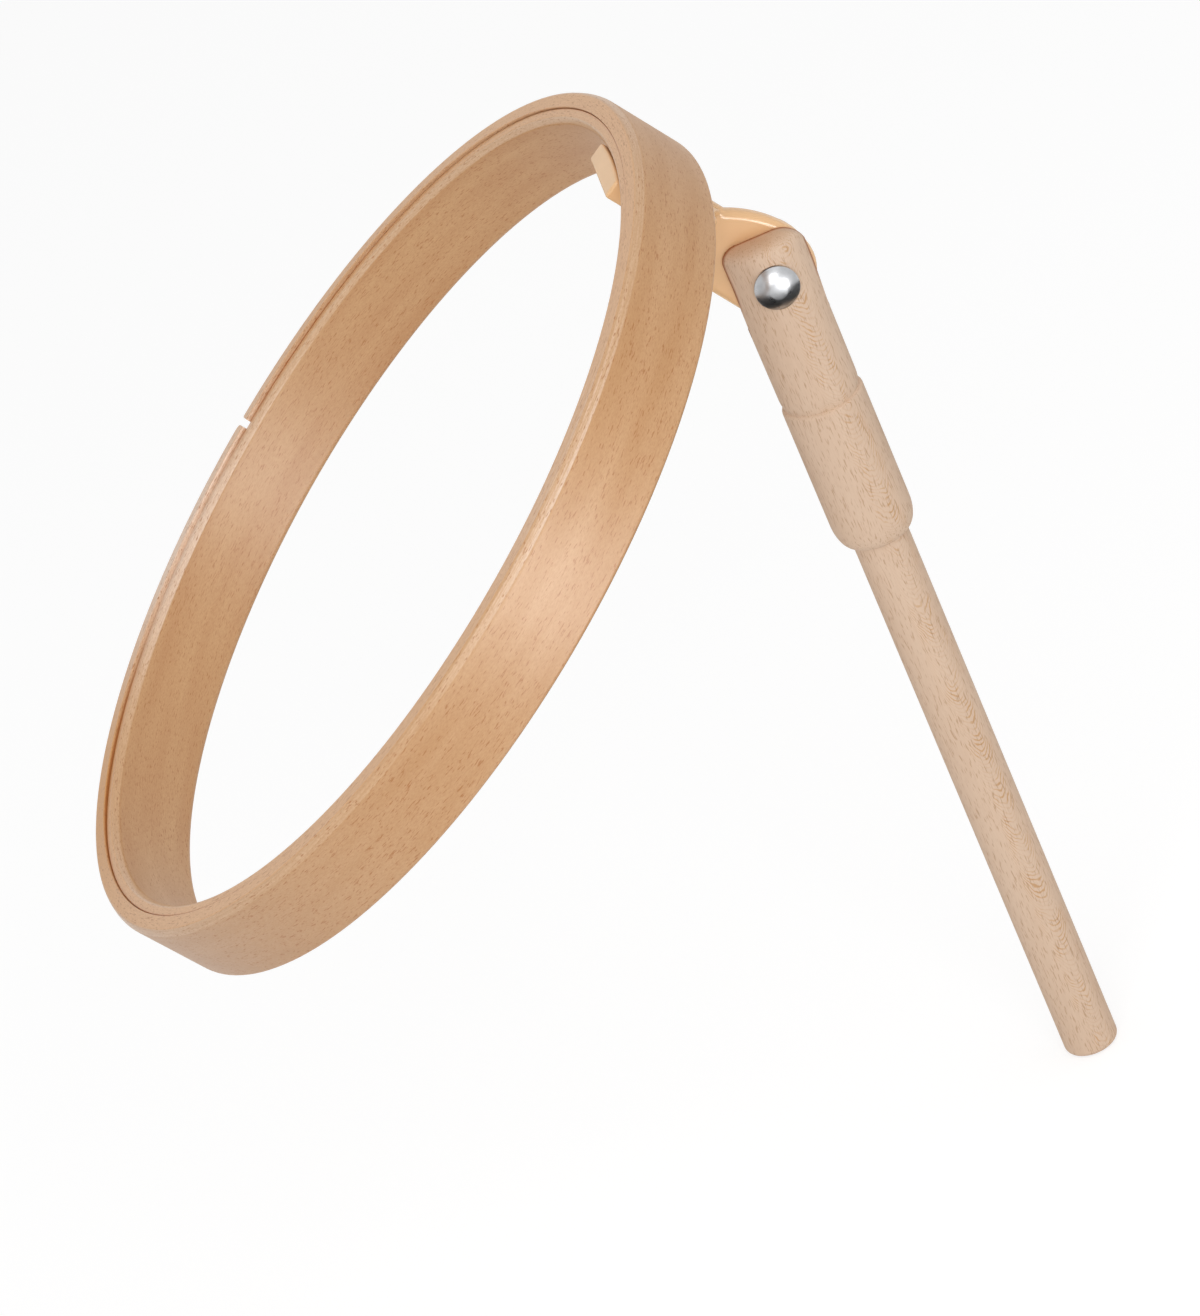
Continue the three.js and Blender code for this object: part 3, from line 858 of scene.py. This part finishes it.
def settle(bm, back, front, spots):
    """Lets a band's edge sit a little inside or behind its circle at a few turns."""
    for vert in bm.verts:
        place = math.atan2(vert.co.x, vert.co.y)
        out = vert.co.xy.length
        forward = min(max((vert.co.z - back) / (front - back), 0.0), 1.0)
        for centre, width, inset, setback in spots:
            gap = math.remainder(place - centre, math.tau)
            share = math.exp(-((gap / math.radians(width)) ** 2))
            vert.co.xy *= 1 - inset * share / out
            vert.co.z -= setback * share * forward


def taper_end(bm, place, direction, inside, thickness, rounding):
    """Rounds a band's sawn end on its outer side."""
    for distance in (0.03, 0.12, 0.28, 0.5, 0.75, 1.0):
        slice_at(bm, place + direction * (rounding * distance), direction)
    for vert in bm.verts:
        offset = vert.co - place
        along_end = offset.dot(direction)
        if -0.2 * MM < along_end < rounding and offset.xy.length < 2 * thickness:
            back = 1 - max(along_end, 0.0) / rounding
            trim = rounding * (1 - math.sqrt(1 - back * back))
            out = vert.co.xy.length
            share = min(max((out - inside) / thickness, 0.0), 1.0)
            vert.co.xy *= (out - trim * share) / out


class HOOP_OT_inner_band(bpy.types.Operator):
    """Makes the inner band, bent round and drilled for the bracket's screws."""

    bl_idname = "hoop.inner_band"
    bl_label = "Inner band"

    def execute(self, context):
        scene = context.scene
        bands, colours, p = scene.hoop_bands, scene.hoop_finish, plan(scene)
        outside = p.inner_outside + bands.swell
        bm = band_section(
            (p.inner_inside, p.inner_back, bands.inner_round),
            (outside, p.inner_back, bands.facing_round),
            (outside, p.inner_front, bands.facing_round),
            (p.inner_inside + bands.inner_ease, p.inner_front, bands.bevel_round),
            (p.inner_inside, p.inner_front - bands.inner_round, bands.bevel_round),
        )
        turn(bm, (0, 0, 1), BAND_STEPS)
        pressed = (math.radians(PRESSED_TURN), PRESSED_SPREAD, PRESSED_DEPTH, 0.0)
        settled = (bands.split_turn, SETTLE_SPREAD, 0.0, bands.inner_settle)
        settle(bm, p.inner_back, p.inner_front, (pressed, settled))
        bm = drilled(scene, p, bm)
        bm.transform(p.hoop_place)
        band = SimpleNamespace(
            radius=p.inner_outside,
            seam=0.0,
            front=p.inner_front,
            rounding=bands.inner_round,
            settled=(bands.split_turn, bands.inner_settle),
            facing=outside,
            inwards=-1,
            shade=-0.8 * MM,
            warm=0.35,
            greyed=0.0,
            dashes=(0.59, 0.73),
            pale=(0.75, 0.95),
        )
        light, dark = colours.inner_light, colours.inner_dark
        wood = bent_beech("bent_beech_inner", light, dark, colours, p.hoop_place, band)
        place_piece("inner_band", bm, wood, "hoop", "inner_ring")
        return {"FINISHED"}


class HOOP_OT_outer_band(bpy.types.Operator):
    """Makes the outer band, split so that it springs over the cloth."""

    bl_idname = "hoop.outer_band"
    bl_label = "Outer band"

    def execute(self, context):
        scene = context.scene
        bands, colours, p = scene.hoop_bands, scene.hoop_finish, plan(scene)
        gap = bands.split_gap / p.outer_outside
        bm = band_section(
            (p.outer_inside, p.outer_back, bands.facing_round),
            (p.outer_outside, p.outer_back, bands.back_round),
            (p.outer_outside, p.outer_front - bands.outer_round, bands.bevel_round),
            (p.outer_outside - bands.outer_ease, p.outer_front, bands.bevel_round),
            (p.outer_inside, p.outer_front, bands.facing_round),
        )
        bmesh.ops.spin(
            bm,
            geom=bm.verts[:] + bm.edges[:] + bm.faces[:],
            cent=(0, 0, 0),
            axis=(0, 0, 1),
            angle=math.tau - gap,
            steps=BAND_STEPS,
        )
        tidy(bm)
        middle = (p.outer_inside + p.outer_outside) / 2
        for angle, sense, rounding in ((0.0, -1, 2.0 * MM), (-gap, 1, 0.8 * MM)):
            spin = Matrix.Rotation(angle, 3, "Z")
            place, direction = spin @ Vector((0, middle, 0)), spin @ Vector((sense, 0, 0))
            taper_end(bm, place, direction, p.outer_inside, bands.outer_thickness, rounding)
        rotate(bm, gap / 2 - bands.split_turn, "Z")
        settled = (bands.split_turn, SETTLE_SPREAD, 0.0, bands.outer_settle)
        settle(bm, p.outer_back, p.outer_front, (settled,))
        bm.transform(p.hoop_place)
        band = SimpleNamespace(
            radius=p.outer_outside,
            seam=bands.split_turn,
            front=p.outer_front,
            rounding=bands.outer_round,
            settled=(bands.split_turn, bands.outer_settle),
            facing=p.outer_inside,
            inwards=1,
            shade=1.0 * MM,
            warm=0.85,
            greyed=0.6,
            dashes=(0.62, 0.7),
            pale=(0.35, 0.65),
        )
        light, dark = colours.outer_light, colours.outer_dark
        wood = bent_beech("bent_beech_outer", light, dark, colours, p.hoop_place, band)
        place_piece("outer_band", bm, wood, "outer_ring", "outer_ring")
        return {"FINISHED"}


class HOOP_OT_bracket(bpy.types.Operator):
    """Moulds the hinge bracket: a pad in the band, a shoulder behind it and a tongue."""

    bl_idname = "hoop.bracket"
    bl_label = "Hinge bracket"

    def execute(self, context):
        scene = context.scene
        p = plan(scene)
        bm = combine(self.shoulder(scene, p), self.pad(scene, p), "UNION")
        bm = combine(bm, self.tongue(scene, p), "UNION")
        reach = 20 * MM
        hole = bar(p.hole, -reach, reach, height=0)
        move(hole, (0, p.axis_drop, 0))
        bm = drilled(scene, p, cut(bm, hole))
        bm.transform(p.hoop_place)
        plastic = moulded_plastic(scene.hoop_finish)
        place_piece("moulded_bracket", bm, plastic, "hoop", "hinge_bracket")
        return {"FINISHED"}

    def pad(self, scene, p):
        """Flat inside, and curved outside to lie in the inner band."""
        hinge = scene.hoop_hinge
        half = hinge.pad_width / 2
        sweep = math.asin(half / p.pad_outside)
        turns = [step * sweep / 5 for step in range(5, -6, -1)]
        bow = [(p.pad_outside * math.sin(a), p.pad_outside * math.cos(a)) for a in turns]
        back = p.shoulder_front - hinge.shoulder_depth / 2
        corners = [(-half, p.pad_inside), (half, p.pad_inside), *bow]
        bm = outline([(x, y, back) for x, y in corners])
        push(bm, (0, 0, p.pad_front - back))
        round_edges(bm, sharp_edges(bm), hinge.pad_round, segments=4)
        return bm

    def shoulder(self, scene, p):
        """Stands behind the band's back edge and is drawn in by a hollow curve."""
        hinge = scene.hoop_hinge
        half = hinge.pad_width / 2
        neck = hinge.tongue_thickness / 2 - 0.35 * MM
        flare = curve(14, (half, p.shoulder_back), (neck, p.shoulder_back), (neck, p.flare_end))
        right = [(half, p.shoulder_front)] + flare
        left = [(-x, z) for x, z in reversed(right)]
        top = p.inner_outside
        bm = outline([(x, top, z) for x, z in right + left])
        push(bm, (0, p.pad_inside - top, 0))
        round_edges(bm, sharp_edges(bm), hinge.pad_round, segments=4)
        return bm

    def tongue(self, scene, p):
        """Rounded plate in the plane of the tilt, with its disc round the pivot."""
        hinge = scene.hoop_hinge
        radius = hinge.tongue_radius
        pivot = Vector((0, p.axis_drop, 0))
        top = hinge.tongue_top
        disc_end = math.radians(75)
        sweep = disc_end + math.pi / 2
        turns = [-math.pi / 2 + step * sweep / 20 for step in range(21)]
        disc = [(radius * math.cos(a), radius * math.sin(a)) for a in turns]
        pull = ((radius - top * math.sin(disc_end)) / math.cos(disc_end), top)
        crest = curve(9, disc.pop(), pull, (-hinge.crest_back, top))
        sweep = math.asin((p.flare_end - hinge.crest_back) / hinge.back_radius)
        turns = [step * sweep / 10 for step in range(1, 11)]
        start, large = -hinge.crest_back, hinge.back_radius
        drop = top - large
        back = [(start - large * math.sin(a), drop + large * math.cos(a)) for a in turns]
        root = p.shoulder_back
        low = p.pad_inside - p.axis_drop
        under = curve(
            16, (-root, low), (-p.flare_end, low), (-p.flare_end, -radius), (-hinge.flat, -radius)
        )
        rim = disc + crest + back + [(-root, back[-1][1])] + under
        half = hinge.tongue_thickness / 2
        bm = outline([pivot + Vector((half, y, -x)) for x, y in rim])
        push(bm, (-2 * half, 0, 0))
        round_rim(bm, 0, hinge.tongue_thickness, hinge.tongue_round, segments=6)
        return bm


class HOOP_OT_screws(bpy.types.Operator):
    """Makes the two countersunk screws that hold the bracket in the inner band."""

    bl_idname = "hoop.screws"
    bl_label = "Bracket screws"

    def execute(self, context):
        scene = context.scene
        p = plan(scene)
        face, height = p.inner_outside - SCREW_SUNK, p.screw_height
        arm, slit, deep = 1.6 * MM, 0.35 * MM, 1.0 * MM  # of the cross recess
        for side, name in ((-1, "bracket_screw_1"), (1, "bracket_screw_2")):
            bm = screw_solid(scene, p, side, 0.0)
            for wide, tall in ((arm, slit), (slit, arm)):
                recess = block(
                    (-wide, face - deep, height - tall), (wide, face + deep, height + tall)
                )
                rotate(recess, -side * p.screw_turn, "Z")
                bm = cut(bm, recess)
            bm.transform(p.hoop_place)
            steel = steel_of(scene)
            place_piece(f"countersunk_{name}", bm, steel, "hoop", name)
        return {"FINISHED"}


class HOOP_OT_stem(bpy.types.Operator):
    """Turns the stem and saws its fork."""

    bl_idname = "hoop.stem"
    bl_label = "Stem"

    def execute(self, context):
        scene = context.scene
        stem, metal, p = scene.hoop_stem, scene.hoop_hardware, plan(scene)
        bm = self.turning(stem, p)
        low, half, reach = PIVOT.z - stem.slot_depth, stem.slot / 2, stem.collar
        self.swell_fork(bm, stem, low)
        bm = cut(
            bm,
            self.corner_cutter(stem, p.stem_top, stem.back_round, 0, reach),
            self.corner_cutter(stem, p.stem_top - stem.far_drop, stem.far_round, -reach, 0),
            block((-half, -reach, low), (half, reach, p.stem_top + reach)),
        )
        sawn = [
            edge
            for edge in sharp_edges(bm)
            if all(abs(abs(v.co.x) - half) < CLOSE for v in edge.verts)
            and max(v.co.z for v in edge.verts) > low + MARGIN
        ]
        round_edges(bm, sawn, stem.edge, segments=3)
        socket = metal.neck / 2 + metal.hole_slack
        neck_end = p.head_seat - metal.neck_length - SLACK
        bm = cut(
            bm,
            bar(p.hole, -reach, reach, PIVOT.z),
            bar(metal.head / 2 + SLACK, p.spot_face, reach, PIVOT.z),
            bar(metal.washer / 2 + SLACK, -reach, -p.spot_face, PIVOT.z),
            block((neck_end, -socket, PIVOT.z - socket), (reach, socket, PIVOT.z + socket)),
        )
        wood = turned_beech(scene.hoop_finish, SimpleNamespace(end=p.stem_top, cheek=half))
        place_piece("turned_stem", bm, wood, "stem", "stem")
        return {"FINISHED"}

    def swell_fork(self, bm, stem, low):
        """Keeps the cheeks' sawn edges in line with the shank below the slot."""
        for height in (low - 2 * MM, low, low + 5 * MM, low + 10 * MM, low + 15 * MM):
            slice_at(bm, (0, 0, height), (0, 0, 1))
        fork, half = stem.fork / 2, stem.slot / 2
        growth, fade = 14 * MM, 1.6  # height to the full swell, and half slots to its end
        most = fork - math.sqrt(fork**2 - half**2)
        for vert in bm.verts:
            if vert.co.z < low - MARGIN or abs(vert.co.y) < half:
                continue
            aside = abs(vert.co.x) / half
            share = aside**2 if aside < 1 else max(0.0, 1 - (aside - 1) / fade) ** 2
            rise = min(max((vert.co.z - low) / growth, 0.0), 1.0)
            swell = stem.back_swell * rise if vert.co.y > 0 else 0.0
            vert.co.y *= 1 + (most * share + swell) / fork
            vert.co.y += stem.lean * rise

    def corner_cutter(self, stem, top, radius, start, end):
        """Tool that levels a cheek and rounds its back corner to a larger radius."""
        edge, reach = stem.fork / 2 + stem.back_swell + stem.lean, stem.collar
        turns = [step * math.pi / 24 for step in range(13)]
        rim = [(-reach, top)]
        rim += [
            (edge - radius + radius * math.sin(a), top - radius + radius * math.cos(a))
            for a in turns
        ]
        rim += [(reach, top - radius), (reach, top + reach), (-reach, top + reach)]
        bm = outline([(start, y, z) for y, z in rim])
        return push(bm, (end - start, 0, 0))

    def turning(self, stem, p):
        """Round stem: dowel, shoulder, collar and shank."""
        dowel, collar = stem.dowel / 2, stem.collar / 2
        shank, fork = stem.shank / 2, stem.fork / 2
        ledge = dowel + stem.step
        turns, width = [step * math.pi / 20 for step in range(11)], collar - ledge
        points = [(0, 0), (dowel, 0), (dowel, p.dowel_top)]
        points += [
            (ledge + width * math.sin(a), p.collar_bottom - stem.shoulder * math.cos(a))
            for a in turns
        ]
        eased, groove_rise, run_out = 0.6 * MM, 0.3 * MM, 2.2 * MM
        rise = p.chamfer_top - eased
        points += [(collar, rise), (shank - stem.groove, rise + groove_rise)]
        points += [(shank, rise + run_out), (fork, p.stem_top), (0, p.stem_top)]
        bm = outline([(x, 0, z) for x, z in points])
        bm.verts.ensure_lookup_table()
        softened = (
            (bm.verts[1], stem.dowel_round, 6),
            (bm.verts[len(points) - 2], stem.fork_round, 10),
            (bm.verts[len(points) - 5], 0.9 * MM, 4),
            (bm.verts[len(points) - 4], 0.3 * MM, 3),
            (bm.verts[len(points) - 3], 1.2 * MM, 4),
        )
        for corner, radius, segments in softened:
            round_corners(bm, [corner], radius, segments)
        return lathe(bm, STEM_STEPS)


class HOOP_OT_bolt(bpy.types.Operator):
    """Makes the coach bolt: domed head, square neck, plain shank and threaded end."""

    bl_idname = "hoop.bolt"
    bl_label = "Pivot bolt"

    def execute(self, context):
        scene = context.scene
        metal, p = scene.hoop_hardware, plan(scene)
        bm = self.head_and_shank(metal, p)
        neck = metal.neck / 2
        square = block(
            (p.head_seat - metal.neck_length, -neck, -neck),
            (p.head_seat + metal.head_rim / 2, neck, neck),
        )
        bm = combine(bm, square, "UNION")
        bm = combine(bm, self.thread(metal, p), "UNION")
        move(bm, PIVOT)
        place_piece("coach_bolt", bm, steel_of(scene), "stem", "pivot_bolt")
        return {"FINISHED"}

    def head_and_shank(self, metal, p):
        """Turned part of the bolt, along X."""
        radius, rise = metal.head / 2, metal.head_height - metal.head_rim
        dome = (radius**2 + rise**2) / (2 * rise)
        centre = p.head_seat + metal.head_height - dome
        inner = math.asin(metal.head_flat / 2 / dome)
        outer = math.asin(radius / dome)
        sweep = [inner + (outer - inner) * step / 14 for step in range(15)]
        points = [(centre + dome * math.cos(inner), 0)]
        points += [(centre + dome * math.cos(a), dome * math.sin(a)) for a in sweep]
        shank, end = metal.bolt / 2 - 0.1 * MM, -p.spot_face + 2 * MM
        points += [(p.head_seat, radius), (p.head_seat, shank), (end, shank), (end, 0)]
        bm = outline([(x, y, 0) for x, y in points], closed=False)
        return turn(bm, (1, 0, 0), METAL_STEPS)

    def thread(self, metal, p):
        """Threaded end of the bolt, cut square at both ends."""
        crest, root = metal.bolt / 2, metal.bolt / 2 - 0.6 * metal.pitch
        start, pitch = -p.bolt_end - 2 * metal.pitch, metal.pitch
        far = -p.spot_face + 3 * MM
        turns = math.ceil((far - start) / pitch) + 2
        tooth = ((0, root), (0.4, crest), (0.55, crest), (0.95, root), (1, root))
        bm = outline([(start + share * pitch, out, 0) for share, out in tooth], closed=False)
        bmesh.ops.spin(
            bm,
            geom=bm.verts[:] + bm.edges[:],
            cent=(0, 0, 0),
            axis=(1, 0, 0),
            dvec=(pitch / THREAD_STEPS, 0, 0),
            angle=math.tau * turns,
            steps=THREAD_STEPS * turns,
        )
        tidy(bm)
        for place, side in ((-p.bolt_end, -1), (far, 1)):
            sliced = slice_at(bm, (place, 0, 0), (side, 0, 0), clear_outer=True)
            rim = [part for part in sliced if isinstance(part, bmesh.types.BMEdge)]
            bmesh.ops.contextual_create(bm, geom=rim)
        tidy(bm)
        return bm


class HOOP_OT_washer(bpy.types.Operator):
    """Stamps the washer, with its softened edges."""

    bl_idname = "hoop.washer"
    bl_label = "Washer"

    def execute(self, context):
        scene = context.scene
        metal, p = scene.hoop_hardware, plan(scene)
        near, far = -p.washer_face, -p.washer_face + metal.washer_thickness
        edge = metal.washer / 2
        bm = outline(((near, p.hole, 0), (near, edge, 0), (far, edge, 0), (far, p.hole, 0)))
        round_corners(bm, bm.verts[:], radius=0.25 * MM, segments=3)
        turn(bm, (1, 0, 0), METAL_STEPS)
        move(bm, PIVOT)
        place_piece("flat_washer", bm, steel_of(scene), "stem", "washer")
        return {"FINISHED"}


class HOOP_OT_wing_nut(bpy.types.Operator):
    """Casts the wing nut that locks the tilt."""

    bl_idname = "hoop.wing_nut"
    bl_label = "Wing nut"

    def execute(self, context):
        scene = context.scene
        metal, p = scene.hoop_hardware, plan(scene)
        base, top, height = metal.nut_base / 2, metal.nut_top / 2, metal.nut_height
        bm = outline(((0, 0, 0), (base, 0, 0), (top, 0, height), (0, 0, height)))
        bm.verts.ensure_lookup_table()
        round_corners(bm, bm.verts[1:3], radius=0.6 * MM, segments=4)
        lathe(bm, METAL_STEPS)
        for half_turn in (0, math.pi):
            wing = self.wing(metal)
            rotate(wing, half_turn, "Z")
            bm = combine(bm, wing, "UNION")
        bm = cut(bm, upright(p.hole, 4 * metal.wing_height, sides=48))
        place = (
            Matrix.Translation(PIVOT)
            @ Matrix.Rotation(metal.wing_turn, 4, "X")
            @ Matrix.Translation((-p.nut_seat, 0, 0))
            @ Matrix.Rotation(-math.pi / 2, 4, "Y")
            @ Matrix.Rotation(math.pi / 2, 4, "Z")
        )
        bm.transform(place)
        steel = steel_of(scene)
        place_piece("cast_wing_nut", bm, steel, "wing_nut", "wing_nut")
        return {"FINISHED"}

    def wing(self, metal):
        """One wing, standing out and away from the nut's seat."""
        reach, high = metal.wing_span / 2, metal.wing_height
        root = metal.nut_top / 2 - 1.0 * MM
        low = 0.6 * MM
        ear = high / 4 + 0.5 * MM
        lower = curve(
            12, (root, low), (root + ear, low), (reach, high / 3), (reach, high - ear)
        )
        side, rise = reach - ear, high - ear
        turns = [step * math.pi / 16 for step in range(1, 13)]
        tip = [(side + ear * math.cos(a), rise + ear * math.sin(a)) for a in turns]
        hub = metal.nut_height
        upper = curve(10, tip[-1], (root + ear / 2, hub), (root, hub - 0.6 * MM))
        half = metal.wing_thickness / 2
        bm = outline([(x, -half, z) for x, z in lower + tip + upper[1:]])
        push(bm, (0, 2 * half, 0))
        round_rim(bm, 1, metal.wing_thickness, radius=0.8 * MM, segments=4)
        return bm


class HOOP_OT_stage(bpy.types.Operator):
    """Sets the floor, the soft lights and the camera."""

    bl_idname = "hoop.stage"
    bl_label = "Studio"

    def execute(self, context):
        scene = context.scene
        self.floor(scene)
        self.flag()
        self.surroundings(scene)
        self.lamps(scene)
        self.camera(scene)
        scene.view_settings.view_transform = "Standard"
        return {"FINISHED"}

    def sheet(self, name, half_sides, place, material):
        """Level sheet with its middle at a place."""
        bm = bmesh.new()
        bmesh.ops.create_grid(bm, x_segments=1, y_segments=1, size=1.0)
        bmesh.ops.scale(bm, verts=bm.verts, vec=(*half_sides, 1.0))
        move(bm, place)
        return add_object(name, bm, material)

    def floor(self, scene):
        """Wide pale floor under the dowel's end."""
        paper = studio_floor(scene.hoop_finish)
        floor = self.sheet("studio_floor", (6.0, 6.0), (0, 0, -0.2 * MM), paper)

    def flag(self):
        """Small black card under the bolt's head, seen only in reflections."""
        flag = self.sheet("black_flag", (0.065, 0.125), (0.045, -0.005, 0.2), black_card())
        flag.visible_camera = flag.visible_diffuse = flag.visible_shadow = False

    def surroundings(self, scene):
        """White room: plain even light, and pure white where it is seen."""
        scene.world = bpy.data.worlds.new("white_room")
        scene.world.use_nodes = True
        tree = scene.world.node_tree
        tree.nodes.clear()
        seen = seen_directly(tree)
        strength = ramp(tree, seen, 0.0, 1.0, low=0.58, high=1.0, shape="LINEAR")
        white = {"Color": (1.0, 1.0, 1.0, 1.0), "Strength": strength}
        light = add_node(tree, "Background", white)
        add_node(tree, "OutputWorld", {"Surface": light.outputs[0]})

    def lamps(self, scene):
        """Soft boxes: a key at the camera's right, one over the camera and one on top."""
        target = Vector((0, -50 * MM, 230 * MM))
        boxes = (
            ("front_softbox", (0.85, -0.03, 0.52), 1.5, 1.2, 1.0, 9.6),
            ("sheen_softbox", (0.885, 0.455, -0.09), 0.92, 0.5, 0.4, 8.0),
            ("top_softbox", (0.15, 0.35, 1.0), 1.6, 1.2, 1.2, 1.7),
        )
        for name, direction, distance, width, height, power in boxes:
            lamp = bpy.data.lights.new(name, "AREA")
            lamp.shape = "RECTANGLE"
            lamp.size, lamp.size_y = width, height
            lamp.energy = power
            holder = bpy.data.objects.new(name, lamp)
            away = Vector(direction).normalized()
            holder.location = target + away * distance
            holder.rotation_mode = "QUATERNION"
            holder.rotation_quaternion = away.to_track_quat("Z", "Y")
            holder.visible_camera = False
            holder.visible_diffuse = name != "sheen_softbox"
            scene.collection.objects.link(holder)

    def camera(self, scene):
        """Long lens at the right of the stem, looking down on the hoop."""
        image_height, focal_pixels, sensor = 1316, 6000, 36.0
        lens = bpy.data.cameras.new("camera")
        lens.sensor_width = sensor
        lens.lens = focal_pixels * sensor / image_height
        lens.clip_end = 50.0
        camera = bpy.data.objects.new("camera", lens)
        forward = Vector((-0.88301, -0.03888, -0.46774))
        up = Vector((-0.44403, 0.39213, 0.80565))
        turn_to = Matrix((forward.cross(up), up, -forward)).transposed()
        place = Vector((1438.04, -19.63, 937.42)) * MM
        camera.matrix_world = Matrix.Translation(place) @ turn_to.to_4x4()
        scene.collection.objects.link(camera)
        scene.camera = camera


class HOOP_PT_pieces(bpy.types.Panel):
    """Lists the hoop's pieces in the sidebar."""

    bl_label = "Embroidery hoop"
    bl_space_type = "VIEW_3D"
    bl_region_type = "UI"
    bl_category = "Hoop"

    def draw(self, context):
        for operator in OPERATORS:
            self.layout.operator(operator.bl_idname)
        for name, group in GROUPS.items():
            box = self.layout.box()
            for field in group.__annotations__:
                box.prop(getattr(context.scene, name), field)


OPERATORS = (
    HOOP_OT_stage,
    HOOP_OT_inner_band,
    HOOP_OT_outer_band,
    HOOP_OT_bracket,
    HOOP_OT_screws,
    HOOP_OT_stem,
    HOOP_OT_bolt,
    HOOP_OT_washer,
    HOOP_OT_wing_nut,
)


def register():
    """Adds the classes and the hoop's properties."""
    for group in (*GROUPS.values(), *OPERATORS, HOOP_PT_pieces):
        bpy.utils.register_class(group)
    for name, group in GROUPS.items():
        setattr(bpy.types.Scene, name, PointerProperty(type=group))


def unregister():
    """Takes them away again."""
    for name in GROUPS:
        delattr(bpy.types.Scene, name)
    for group in (HOOP_PT_pieces, *reversed(OPERATORS), *GROUPS.values()):
        bpy.utils.unregister_class(group)


def main():
    """Builds the hoop and its studio."""
    register()
    bpy.ops.hoop.stage()
    bpy.ops.hoop.inner_band()
    bpy.ops.hoop.outer_band()
    bpy.ops.hoop.bracket()
    bpy.ops.hoop.screws()
    bpy.ops.hoop.stem()
    bpy.ops.hoop.bolt()
    bpy.ops.hoop.washer()
    bpy.ops.hoop.wing_nut()


if __name__ == "__main__":
    main()
